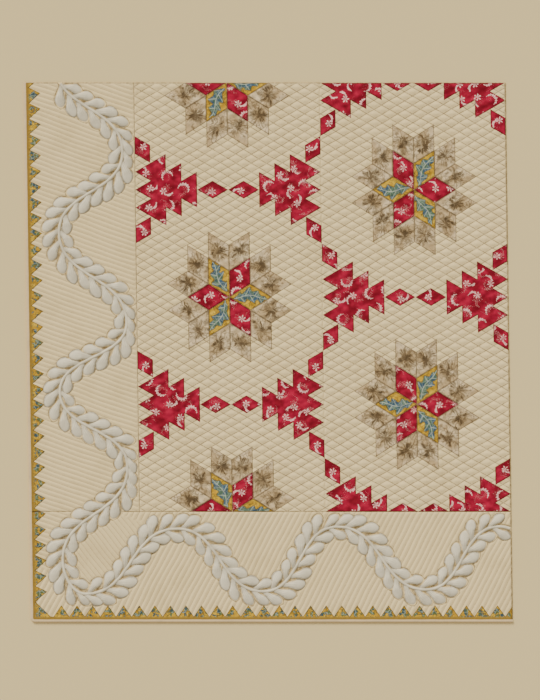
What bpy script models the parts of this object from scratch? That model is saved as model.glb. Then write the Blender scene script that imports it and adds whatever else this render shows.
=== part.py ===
"""Corner section of an applique quilt, laid flat with its face up.

The section is a sandwich: a backing, a wadding, whole-cloth ground columns and
border strips, and on top of those the applied patches, the sawtooth edging, the
binding and the stuffed feather vine.  The foot border folds over the field
along the straight seam that joins the two.

Metres, +Z up.  +X runs along the foot edge to the right and +Y towards the top
edge.  The origin is the middle of the section's outline on the resting plane.
"""

import math

import bmesh
import bpy
from mathutils import Vector
from mathutils.geometry import tessellate_polygon

# ---------------------------------------------------------------- dimensions
PATCH = 0.0635            # side of one chain diamond, 2 1/2 in
COLUMNS = 2               # ground columns in the section
FIELD_UNITS = 24          # height of the field in patch sides
BORDER = 0.392            # width of the left and foot borders
LEAN = 0.0135             # sideways drift of the cloth per metre of height
CORNER_R = 0.015          # rounded outer corner

STAR_SIDE = 0.093         # side of one star diamond
STAR_SLIM = 0.92          # the stars are a little narrower than tall

BIND_W = 0.0095           # visible width of the binding
STRIP_W = 0.0100          # plain strip that carries the teeth
TOOTH_H = 0.0400          # height of one tooth
TOOTH_PITCH = 0.0553      # width of one tooth
TOOTH_LEFT_TIP = -0.007   # height of the left tooth tip nearest the seam
TOOTH_LEFT_SKEW = 0.35    # where the tip stands along a left tooth's base
TOOTH_FOOT_TIP = -0.282   # first foot tooth tip, from the border seam
CORNER_LEG = 0.052        # leg of the corner triangle inside the strip

VINE_REACH = 0.060        # stem centre to leaf tip, along the leaf
VINE_SWEEP = 60.0         # angle between a leaf and the stem, degrees
VINE_LEAF_PITCH = 0.048   # distance between leaves along the stem
VINE_CLEAR = 0.006        # leaf tip to the seam, and to the teeth

CLOTH_T = 0.0008          # one layer of cotton
GAP = 0.0003              # air between neighbouring pieces
WADDING_T = 0.0055        # wadding between the layers
VINE_RIDGE = 0.0080       # height of a stuffed leaf above the border cloth

# ---------------------------------------------------------------- derived
COL_W = 6.0 * math.sqrt(3.0) * PATCH
FIELD_W = COLUMNS * COL_W
FIELD_H = FIELD_UNITS * PATCH
ROW = 12.0 * PATCH
HALF = GAP / 2.0

Z_BACK = (0.0, CLOTH_T)
Z_WAD = (Z_BACK[1] + GAP, Z_BACK[1] + GAP + WADDING_T)
Z_CLOTH = (Z_WAD[1] + GAP, Z_WAD[1] + GAP + CLOTH_T)
Z_PATCH = (Z_CLOTH[1] + GAP, Z_CLOTH[1] + GAP + CLOTH_T)
Z_VINE = Z_PATCH[0]

X_LOW = -BORDER - LEAN * FIELD_H
X_HIGH = FIELD_W + LEAN * BORDER
SHIFT = Vector((-(X_LOW + X_HIGH) / 2.0, -(FIELD_H - BORDER) / 2.0))

TIP_LINE = -BORDER + BIND_W + STRIP_W + TOOTH_H

# Turning points of the vine stem.  Values below zero are shares of the border
# width, values above zero are shares of the field's width or height.  The third
# value is the stem's heading there: D down, R right.
STEM_TURNS = [
    (-0.704, 1.040, "D"), (-0.110, 0.839, "D"), (-0.694, 0.650, "D"),
    (-0.092, 0.441, "D"), (-0.706, 0.279, "D"), (-0.102, 0.104, "D"),
    (-0.700, -0.440, "D"), (-0.500, -0.745, "R"), (0.100, -0.155, "R"),
    (0.330, -0.722, "R"), (0.531, -0.137, "R"), (0.768, -0.706, "R"),
    (0.966, -0.135, "R"), (1.160, -0.700, "R"),
]

COLOURS = {
    "backing": (0.74, 0.66, 0.50),
    "wadding": (0.86, 0.83, 0.75),
    "ground": (0.60, 0.52, 0.36),
    "border": (0.61, 0.53, 0.38),
    "crimson": (0.42, 0.020, 0.040),
    "chintz": (0.62, 0.36, 0.045),
    "toile": (0.36, 0.26, 0.155),
    "star": (0.50, 0.13, 0.045),
    "binding": (0.66, 0.52, 0.36),
    "feather": (0.62, 0.56, 0.46),
}


def clear_scene():
    for obj in list(bpy.data.objects):
        bpy.data.objects.remove(obj, do_unlink=True)


def material(name, key):
    mat = bpy.data.materials.new(name)
    mat.use_nodes = True
    shader = mat.node_tree.nodes["Principled BSDF"]
    shader.inputs["Base Color"].default_value = (*COLOURS[key], 1.0)
    shader.inputs["Roughness"].default_value = 0.92
    mat.diffuse_color = (*COLOURS[key], 1.0)
    return mat


# ---------------------------------------------------------------- plan helpers
def place(x, y, z):
    """Design position to world position: lean the cloth, then centre it."""
    return Vector((x - LEAN * y + SHIFT.x, y + SHIFT.y, z))


def area(poly):
    n = len(poly)
    return sum(poly[i][0] * poly[(i + 1) % n][1] - poly[(i + 1) % n][0] * poly[i][1]
               for i in range(n)) / 2.0


def tidy(poly, near=1e-6):
    """Drop repeated points and make the outline run anticlockwise."""
    out = []
    for p in poly:
        if not out or math.dist(p, out[-1]) > near:
            out.append((p[0], p[1]))
    if math.dist(out[0], out[-1]) <= near:
        out.pop()
    return out if area(out) > 0 else out[::-1]


def clip(poly, axis, limit, keep_above):
    """Keep the part of an outline on one side of a line square to an axis."""
    sign = 1.0 if keep_above else -1.0
    out = []
    for i, a in enumerate(poly):
        b = poly[(i + 1) % len(poly)]
        da, db = sign * (a[axis] - limit), sign * (b[axis] - limit)
        if da >= 0.0:
            out.append(a)
        if (da > 0.0 > db) or (da < 0.0 < db):
            t = da / (da - db)
            out.append((a[0] + t * (b[0] - a[0]), a[1] + t * (b[1] - a[1])))
    return tidy(out)


def inset(poly, dist):
    """Move every side inwards by dist, with mitred corners."""
    poly = tidy(poly)
    out = []
    for i, p in enumerate(poly):
        a = Vector(p) - Vector(poly[i - 1])
        b = Vector(poly[(i + 1) % len(poly)]) - Vector(p)
        na = Vector((-a.y, a.x)).normalized()
        nb = Vector((-b.y, b.x)).normalized()
        mitre = (na + nb) / max(1.0 + na.dot(nb), 0.12)
        out.append((p[0] + mitre.x * dist, p[1] + mitre.y * dist))
    return out


def rectangle(x0, y0, x1, y1, radius=0.0, steps=5):
    """Anticlockwise rectangle whose low-left corner may be rounded."""
    pts = [(x1, y0), (x1, y1), (x0, y1)]
    if radius <= 0.0:
        return pts + [(x0, y0)]
    for i in range(steps + 1):
        a = math.pi + (math.pi / 2.0) * i / steps
        pts.append((x0 + radius + radius * math.cos(a), y0 + radius + radius * math.sin(a)))
    return pts


# ---------------------------------------------------------------- mesh helpers
def finish(name, bm, mat):
    bmesh.ops.recalc_face_normals(bm, faces=bm.faces[:])
    mesh = bpy.data.meshes.new(name)
    bm.to_mesh(mesh)
    bm.free()
    obj = bpy.data.objects.new(name, mesh)
    obj.data.materials.append(mat)
    bpy.context.scene.collection.objects.link(obj)
    return obj


def plate(name, outer, z, mat, hole=None):
    """Flat piece of cloth: an outline, perhaps with a hole, between two heights."""
    loops = [tidy(outer)]
    if hole:
        loops.append(tidy(hole)[::-1])
    pts = [p for loop in loops for p in loop]
    tris = tessellate_polygon([[Vector((x, y, 0.0)) for x, y in loop] for loop in loops])
    bm = bmesh.new()
    low = [bm.verts.new(place(x, y, z[0])) for x, y in pts]
    top = [bm.verts.new(place(x, y, z[1])) for x, y in pts]
    for a, b, c in tris:
        up = area([pts[a], pts[b], pts[c]]) > 0
        a, c = (a, c) if up else (c, a)
        bm.faces.new((top[a], top[b], top[c]))
        bm.faces.new((low[c], low[b], low[a]))
    start = 0
    for loop in loops:
        n = len(loop)
        for i in range(n):
            a, b = start + i, start + (i + 1) % n
            bm.faces.new((low[a], low[b], top[b], top[a]))
        start += n
    return finish(name, bm, mat)


def sweep(name, path, section, mat):
    """Carry an (inward, height) section along a path of (point, inward) pairs."""
    bm = bmesh.new()
    rings = [[bm.verts.new(place(p[0] + n[0] * a, p[1] + n[1] * a, z)) for a, z in section]
             for p, n in path]
    m = len(section)
    for r0, r1 in zip(rings, rings[1:]):
        for i in range(m):
            j = (i + 1) % m
            bm.faces.new((r0[i], r0[j], r1[j], r1[i]))
    flat = tessellate_polygon([[Vector((a, z, 0.0)) for a, z in section]])
    for ring in (rings[0], rings[-1]):
        for tri in flat:
            bm.faces.new([ring[i] for i in tri])
    return finish(name, bm, mat)


# ---------------------------------------------------------------- layers
def build_layers(mats):
    leg = BIND_W + GAP
    wall = CLOTH_T + GAP
    left, foot = -BORDER, -BORDER
    inner_r = max(CORNER_R - leg, 0.002)
    wall_r = CORNER_R - wall
    plate("backing_field", rectangle(left + leg, HALF, FIELD_W, FIELD_H), Z_BACK,
          mats["backing_field"])
    plate("backing_foot", rectangle(left + leg, foot + leg, FIELD_W, -HALF, inner_r), Z_BACK,
          mats["backing_foot"])
    plate("wadding_field", rectangle(left + wall, HALF, FIELD_W, FIELD_H), Z_WAD,
          mats["wadding_field"])
    plate("wadding_foot", rectangle(left + wall, foot + wall, FIELD_W, -HALF, wall_r), Z_WAD,
          mats["wadding_foot"])
    plate("border_cloth_left", rectangle(left + wall, HALF, -HALF, FIELD_H), Z_CLOTH,
          mats["border_cloth_left"])
    plate("border_cloth_foot", rectangle(left + wall, foot + wall, FIELD_W, -HALF, wall_r),
          Z_CLOTH, mats["border_cloth_foot"])
    for c in range(COLUMNS):
        x0 = c * COL_W + HALF
        x1 = (c + 1) * COL_W - (HALF if c + 1 < COLUMNS else 0.0)
        name = f"ground_column_{c + 1}"
        plate(name, rectangle(x0, HALF, x1, FIELD_H), Z_CLOTH, mats[name])


def build_binding(mats):
    top = Z_PATCH[1]
    section = [(0.0, 0.0), (BIND_W, 0.0), (BIND_W, CLOTH_T), (CLOTH_T, CLOTH_T),
               (CLOTH_T, top - CLOTH_T), (BIND_W, top - CLOTH_T), (BIND_W, top), (0.0, top)]
    left = [((-BORDER, FIELD_H), (1.0, 0.0)), ((-BORDER, HALF), (1.0, 0.0))]
    sweep("binding_left", left, section, mats["binding_left"])
    foot = [((-BORDER, -HALF), (1.0, 0.0))]
    centre = (-BORDER + CORNER_R, -BORDER + CORNER_R)
    for i in range(7):
        a = math.pi + (math.pi / 2.0) * i / 6
        out = (math.cos(a), math.sin(a))
        foot.append(((centre[0] + CORNER_R * out[0], centre[1] + CORNER_R * out[1]),
                     (-out[0], -out[1])))
    foot.append(((FIELD_W, -BORDER), (0.0, 1.0)))
    sweep("binding_foot", foot, section, mats["binding_foot"])


def tooth_outline():
    """One outline for the strip and teeth of both borders, corner included."""
    outer = -BORDER + BIND_W + GAP
    base = -BORDER + BIND_W + STRIP_W
    radius = max(CORNER_R - BIND_W, 0.002)
    pts = []
    top_tip = TOOTH_LEFT_TIP + TOOTH_PITCH * math.ceil((FIELD_H - TOOTH_LEFT_TIP) / TOOTH_PITCH)
    y = top_tip + TOOTH_PITCH
    low_limit = base + CORNER_LEG + 0.1 * TOOTH_PITCH
    pts.append((base, y + TOOTH_LEFT_SKEW * TOOTH_PITCH))
    while y - (1.0 - TOOTH_LEFT_SKEW) * TOOTH_PITCH > low_limit - 0.3 * TOOTH_PITCH:
        pts.append((TIP_LINE, y))
        pts.append((base, y - (1.0 - TOOTH_LEFT_SKEW) * TOOTH_PITCH))
        y -= TOOTH_PITCH
    pts.append((base, base + CORNER_LEG))
    pts.append((base + CORNER_LEG, base))
    x = TOOTH_FOOT_TIP
    while x < FIELD_W + TOOTH_PITCH:
        pts.append((x - 0.5 * TOOTH_PITCH, base))
        pts.append((x, TIP_LINE))
        x += TOOTH_PITCH
    pts.append((x, base))
    pts.append((x, outer))
    for i in range(6):
        a = 1.5 * math.pi - (math.pi / 2.0) * i / 5
        pts.append((outer + radius + radius * math.cos(a), outer + radius + radius * math.sin(a)))
    pts.append((outer, pts[0][1]))
    return tidy(pts, 1e-4)


def build_sawtooth(mats):
    whole = clip(tooth_outline(), 0, FIELD_W, False)
    upper = clip(clip(whole, 1, FIELD_H, False), 1, HALF, True)
    lower = clip(whole, 1, -HALF, False)
    plate("sawtooth_left", upper, Z_PATCH, mats["sawtooth_left"])
    plate("sawtooth_foot", lower, Z_PATCH, mats["sawtooth_foot"])


# ---------------------------------------------------------------- patches
def units(points, cx, cy, mirror):
    sx = -PATCH if mirror else PATCH
    return [(cx + sx * a, cy + PATCH * b) for a, b in points]


def cluster_points():
    """Fifteen-pointed triangle of diamonds, long sides facing out at three angles."""
    r = math.sqrt(3.0)
    return [(r, -1), (r, 1), (r / 2, .5), (r / 2, 1.5), (0, 1), (0, 2), (-r, 1), (-r / 2, .5),
            (-r, 0), (-r / 2, -.5), (-r, -1), (0, -2), (0, -1), (r / 2, -1.5), (r / 2, -.5)]


def trimmed(poly, column):
    """Cut an outline to its column and leave air to its neighbours."""
    x0 = column * COL_W
    poly = clip(tidy(poly), 1, 0.0, True)
    poly = clip(poly, 1, FIELD_H, False)
    poly = clip(clip(poly, 0, x0, True), 0, x0 + COL_W, False)
    return inset(poly, 0.2e-3)


def column_rows(column):
    """Heights of the cluster rows: odd columns are half a repeat lower."""
    first = ROW / 2.0 if column % 2 == 0 else 0.0
    rows, y = [], first
    while y <= FIELD_H + 1e-6:
        rows.append(y)
        y += ROW
    return rows


def build_patches(mats):
    r = math.sqrt(3.0)
    along = [(-r / 2, 0), (0, -.5), (r / 2, 0), (0, .5)]
    rising = [(-r / 2, 1.5), (-r / 2, 2.5), (-r, 3), (-r, 2)]
    for c in range(COLUMNS):
        x0 = c * COL_W
        link = 0
        for k, y in enumerate(column_rows(c)):
            for side, mirror in (("l", False), ("r", True)):
                cx = x0 + (5.0 if mirror else 1.0) * r * PATCH
                name = f"cluster_c{c + 1}_r{k + 1}_{side}"
                plate(name, trimmed(units(cluster_points(), cx, y, mirror), c), Z_PATCH,
                      mats[name])
                shapes = [units(rising, cx, y, mirror),
                          units([(a, -b) for a, b in rising], cx, y, mirror),
                          units(along, x0 + (3.5 if mirror else 2.5) * r * PATCH, y, False)]
                for shape in shapes:
                    mid = sum(p[1] for p in shape) / 4.0
                    if mid < -1e-6 or mid > FIELD_H + 1e-6:
                        continue
                    link += 1
                    name = f"chain_c{c + 1}_{link:02d}"
                    plate(name, trimmed(shape, c), Z_PATCH, mats[name])


def star_step(k):
    a = math.radians(30.0 + 60.0 * k)
    return Vector((math.cos(a) * STAR_SLIM, math.sin(a))) * STAR_SIDE


def star_core(cx, cy, tip):
    pts = []
    for k in range(6):
        e, f = star_step(k), star_step(k + 1)
        pts += [e, (e + f) * tip]
    return [(cx + p.x, cy + p.y) for p in pts]


def star_ring(cx, cy):
    pts = []
    for k in range(6):
        b, e, f = star_step(k - 1), star_step(k), star_step(k + 1)
        pts += [e + b, 2 * e + b, 2 * e, 2 * e + f]
    return [(cx + p.x, cy + p.y) for p in pts]


def build_stars(mats):
    neck = 0.955
    for c in range(COLUMNS):
        cx = (c + 0.5) * COL_W
        first = 0.0 if c % 2 == 0 else ROW / 2.0
        k, y = 0, first
        while y <= FIELD_H + 1e-6:
            k += 1
            core = star_core(cx, y, neck - 0.010)
            hole = star_core(cx, y, neck)
            hole = inset(hole, -0.2e-3)
            ring = star_ring(cx, y)
            base = f"star_c{c + 1}_r{k}"
            inside = 1e-6 < y < FIELD_H - 1e-6
            plate(base + "_core", trimmed(core, c), Z_PATCH, mats[base + "_core"])
            if inside:
                plate(base + "_ring", inset(ring, 0.2e-3), Z_PATCH, mats[base + "_ring"], hole)
            else:
                arch = arch_outline(ring, hole, y < 1e-6)
                plate(base + "_ring", arch, Z_PATCH, mats[base + "_ring"])
            y += ROW


def arch_outline(ring, hole, upper):
    level = HALF + 0.1e-3 if upper else FIELD_H
    outer = open_at(clip(inset(ring, 0.2e-3), 1, level, upper), level)
    inner = open_at(clip(hole, 1, level, upper), level)
    return outer + inner[::-1]


def open_at(poly, level):
    """Turn an outline so that its flat side joins its last point to its first."""
    n = len(poly)
    for i in range(n):
        a, b = poly[i], poly[(i + 1) % n]
        if abs(a[1] - level) < 1e-6 and abs(b[1] - level) < 1e-6:
            return poly[i + 1:] + poly[:i + 1]
    return poly


# ---------------------------------------------------------------- feather vine
def stem_points():
    """Evenly spaced points along the stem: cubic pieces between turning points."""
    def scale(v, full):
        return v * BORDER if v < 0 else v * full
    turns = [(Vector((scale(x, FIELD_W), scale(y, FIELD_H))),
              Vector((0.0, -1.0)) if d == "D" else Vector((1.0, 0.0))) for x, y, d in STEM_TURNS]
    dense = []
    for (p, hp), (q, hq) in zip(turns, turns[1:]):
        p1 = p + hp * 0.52 * abs((q - p).dot(hp))
        q1 = q - hq * 0.52 * abs((q - p).dot(hq))
        for i in range(40):
            t = i / 40.0
            s = 1.0 - t
            dense.append(p * s ** 3 + p1 * 3 * s * s * t + q1 * 3 * s * t * t + q * t ** 3)
    dense.append(turns[-1][0])
    step = VINE_LEAF_PITCH / 3.0
    out, left = [dense[0]], step
    for a, b in zip(dense, dense[1:]):
        seg = (b - a).length
        at = 0.0
        while seg - at >= left:
            at += left
            out.append(a.lerp(b, at / seg))
            left = step
        left -= seg - at
    return out


def hold(v, low, high):
    return max(low, min(high, v))


def vine_rings():
    """Cross-sections of the vine: two swept rows of leaf lobes and a stem between."""
    pts = stem_points()
    n = len(pts)
    tangent = [(pts[min(i + 1, n - 1)] - pts[max(i - 1, 0)]).normalized() for i in range(n)]
    step = VINE_LEAF_PITCH / 3.0
    bend = []
    for i in range(n):
        a, b = tangent[max(i - 1, 0)], tangent[min(i + 1, n - 1)]
        bend.append((a.x * b.y - a.y * b.x) / (2.0 * step))
    sweep_a = math.radians(VINE_SWEEP)
    low = TIP_LINE + VINE_CLEAR
    rings = []
    for i in range(n):
        lobe = (0.66, 1.0, 0.95)[i % 3]
        crest = (0.55, 1.0, 0.95)[i % 3]
        t, p = tangent[i], pts[i]
        ring = {}
        for side in (1.0, -1.0):
            a = side * sweep_a
            d = Vector((t.x * math.cos(a) - t.y * math.sin(a),
                        t.x * math.sin(a) + t.y * math.cos(a)))
            tight = max(side * bend[j] for j in range(max(0, i - 3), min(n, i + 4)))
            reach = VINE_REACH * lobe
            if tight > 1e-6:
                reach = min(reach, 0.74 * math.sin(sweep_a) / tight)
            q = p + d * reach
            if p.y > 0.0:
                q.x = hold(q.x, low, -VINE_CLEAR)
            else:
                q.x = max(q.x, low)
                q.y = hold(q.y, low, -VINE_CLEAR) if p.x > 0.0 else max(q.y, low)
            ring[side] = q
        z = Z_VINE
        left, right = ring[1.0], ring[-1.0]
        mid_l, mid_r = p.lerp(left, 0.62), p.lerp(right, 0.62)
        rings.append([(left, z), (left, z + 0.0015), (mid_l, z + VINE_RIDGE * crest),
                      (p, z + VINE_RIDGE * 0.62), (mid_r, z + VINE_RIDGE * crest),
                      (right, z + 0.0015), (right, z), (p, z)])
    return rings


def cut_off(bm, point, normal):
    """Remove what lies beyond a plane and close the cut."""
    geom = bm.verts[:] + bm.edges[:] + bm.faces[:]
    bmesh.ops.bisect_plane(bm, geom=geom, dist=1e-7, plane_co=point, plane_no=normal,
                           clear_outer=True)
    rim = [e for e in bm.edges if e.is_boundary]
    if rim:
        bmesh.ops.triangle_fill(bm, use_beauty=True, use_dissolve=False, edges=rim)


def largest_part(bm):
    """Keep only the biggest connected piece."""
    todo, parts = set(bm.verts), []
    while todo:
        stack, part = [todo.pop()], []
        while stack:
            v = stack.pop()
            part.append(v)
            for e in v.link_edges:
                w = e.other_vert(v)
                if w in todo:
                    todo.remove(w)
                    stack.append(w)
        parts.append(part)
    parts.sort(key=len)
    for part in parts[:-1]:
        bmesh.ops.delete(bm, geom=part, context="VERTS")


def build_vines(mats):
    rings = vine_rings()
    crossing = next(i for i, ring in enumerate(rings) if ring[3][0].y < 0.0)
    reach = 8
    runs = {"feather_vine_left": rings[:crossing + reach],
            "feather_vine_foot": rings[crossing - reach:]}
    cuts = {"feather_vine_left": [((0, FIELD_H, 0), (0, 1, 0)), ((0, HALF, 0), (0, -1, 0))],
            "feather_vine_foot": [((0, -HALF, 0), (0, 1, 0)), ((FIELD_W, 0, 0), (1, 0, 0))]}
    for name, run in runs.items():
        bm = bmesh.new()
        made = [[bm.verts.new((q.x, q.y, z)) for q, z in ring] for ring in run]
        m = len(made[0])
        for r0, r1 in zip(made, made[1:]):
            for i in range(m):
                j = (i + 1) % m
                bm.faces.new((r0[i], r0[j], r1[j]))
                bm.faces.new((r0[i], r1[j], r1[i]))
        for ring in (made[0], made[-1]):
            bm.faces.new(ring)
        bmesh.ops.triangulate(bm, faces=[f for f in bm.faces if len(f.verts) > 4])
        for point, normal in cuts[name]:
            cut_off(bm, point, normal)
        largest_part(bm)
        bmesh.ops.remove_doubles(bm, verts=bm.verts[:], dist=2e-5)
        for v in bm.verts:
            v.co = place(*v.co)
        finish(name, bm, mats[name])


# ---------------------------------------------------------------- build
def colour_key(name):
    for start, key in (("backing", "backing"), ("wadding", "wadding"), ("border", "border"),
                       ("ground", "ground"), ("cluster", "crimson"), ("chain", "crimson"),
                       ("sawtooth", "chintz"), ("binding", "binding"), ("feather", "feather")):
        if name.startswith(start):
            return key
    return "star" if name.endswith("_core") else "toile"


class Materials(dict):
    """Gives every node a material of its own when it is first asked for."""

    def __missing__(self, name):
        self[name] = material(name + "_mat", colour_key(name))
        return self[name]


def main():
    clear_scene()
    mats = Materials()
    build_layers(mats)
    build_binding(mats)
    build_sawtooth(mats)
    build_patches(mats)
    build_stars(mats)
    build_vines(mats)


main()
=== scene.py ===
"""Looks of a quilt's lower-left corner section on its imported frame.

The face is built as the work is built: whole-cloth ground columns and border
strips with quilted relief, applied patches cut from printed cloth, a toothed
chintz edging, a rolled binding, a feather vine of stuffed leaves, the rows of
quilting stitches, and the wadding and backing below.

All plan positions are worked out in the cloth's own coordinates: x and y run
from the point where the border seam meets the foot seam, before the cloth's
slight lean is applied.  Layout turns them into the row frame.
"""

from __future__ import annotations

import logging
import math
from dataclasses import dataclass, field
from enum import Enum, IntEnum
from typing import Callable, Iterable, Sequence

import bpy
import numpy as np
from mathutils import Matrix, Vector
from mathutils.geometry import delaunay_2d_cdt

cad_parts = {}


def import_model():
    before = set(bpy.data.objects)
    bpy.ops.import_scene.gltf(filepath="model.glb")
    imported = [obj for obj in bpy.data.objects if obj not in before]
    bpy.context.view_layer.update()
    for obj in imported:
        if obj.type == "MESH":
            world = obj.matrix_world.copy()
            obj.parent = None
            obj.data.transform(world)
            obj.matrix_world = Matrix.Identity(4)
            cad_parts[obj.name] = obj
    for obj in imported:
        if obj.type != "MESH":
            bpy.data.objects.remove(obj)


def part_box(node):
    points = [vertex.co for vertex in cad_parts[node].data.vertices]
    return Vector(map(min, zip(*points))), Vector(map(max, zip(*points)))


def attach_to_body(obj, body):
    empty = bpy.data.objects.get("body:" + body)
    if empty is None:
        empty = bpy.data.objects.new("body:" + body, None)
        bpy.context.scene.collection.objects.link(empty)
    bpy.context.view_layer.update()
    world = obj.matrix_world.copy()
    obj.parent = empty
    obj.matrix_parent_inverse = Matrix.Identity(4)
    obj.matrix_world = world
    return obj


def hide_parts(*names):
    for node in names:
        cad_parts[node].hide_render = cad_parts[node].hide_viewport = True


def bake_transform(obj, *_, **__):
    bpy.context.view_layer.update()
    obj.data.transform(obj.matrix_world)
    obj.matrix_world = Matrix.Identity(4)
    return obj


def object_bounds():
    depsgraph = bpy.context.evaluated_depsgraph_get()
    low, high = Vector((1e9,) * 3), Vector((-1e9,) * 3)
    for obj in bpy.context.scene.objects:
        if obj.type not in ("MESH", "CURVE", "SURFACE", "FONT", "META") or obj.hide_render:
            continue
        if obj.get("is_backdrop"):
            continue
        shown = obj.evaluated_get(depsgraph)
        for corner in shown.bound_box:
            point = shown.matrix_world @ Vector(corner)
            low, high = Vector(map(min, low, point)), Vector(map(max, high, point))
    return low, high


logging.basicConfig(level=logging.INFO, format="%(name)s: %(message)s")
LOG = logging.getLogger("quilt")

MM = 0.001
ROOT3 = math.sqrt(3.0)
GAP = 0.3 * MM    # what is cut away on each side of the foot seam
TRIM = 1.5 * MM   # how far patches stay inside the two free edges
Array = np.ndarray
Point = tuple[float, float]
Outline = list[Point]
Colour = tuple[float, float, float]
PlaneMap = Callable[[Array, Array], Array]
Faces = Sequence[Sequence[int]]
Material = bpy.types.Material
Object = bpy.types.Object


class Body(str, Enum):
    """The two rigid bodies of the frame."""

    FIELD = "field"
    FOOT = "foot_border"


class Print(Enum):
    """The printed cloths that the patches are cut from."""

    CRIMSON = "crimson"
    CHINTZ = "chintz"
    TOILE = "toile"


class Region(IntEnum):
    """Parts of the face that are quilted in their own way."""

    FIELD = 0
    LEFT = 1
    FOOT = 2
    LOOP = 3


# --------------------------------------------------------------------- shading
def math_node(op: str) -> Callable[..., "Sock"]:
    """Method of Sock that adds one Math node.

    Args:
        op: the node's operation.

    Returns:
        A method over the value and what it is called with.
    """

    def method(self: "Sock", *others: "Sock | float") -> "Sock":
        """The node's result."""
        return self.graph.make("ShaderNodeMath", {"operation": op},
                               dict(enumerate((self, *others))))

    return method


class Sock:
    """A shader value that builds Math nodes when it is used in an expression.

    wave is the cosine, whole the whole number below, most and least are the larger and
    the smaller of two values, and y.angle(x) is the direction of the point (x, y).
    """

    __add__ = __radd__ = math_node("ADD")
    __mul__ = __rmul__ = math_node("MULTIPLY")
    __sub__ = math_node("SUBTRACT")
    __truediv__ = math_node("DIVIDE")
    __abs__ = math_node("ABSOLUTE")
    wave = math_node("COSINE")
    whole = math_node("FLOOR")
    most = math_node("MAXIMUM")
    least = math_node("MINIMUM")
    angle = math_node("ARCTAN2")
    root = math_node("SQRT")

    def __init__(self, graph: "Graph", socket: bpy.types.NodeSocket) -> None:
        """Keep the graph and the output socket."""
        self.graph, self.socket = graph, socket

    def __rsub__(self, other: float) -> "Sock":
        """Reflected difference."""
        return self.graph.make("ShaderNodeMath", {"operation": "SUBTRACT"}, {0: other, 1: self})

    def hypot(self, other: "Sock") -> "Sock":
        """Length of the point (self, other)."""
        return (self * self + other * other).root()

    def step(self, low: float, high: float) -> "Sock":
        """Smooth rise from 0 at low to 1 at high; low may be the larger."""
        return self.graph.make("ShaderNodeMapRange", {"interpolation_type": "SMOOTHSTEP"},
                               {"Value": self, "From Min": low, "From Max": high})


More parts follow.
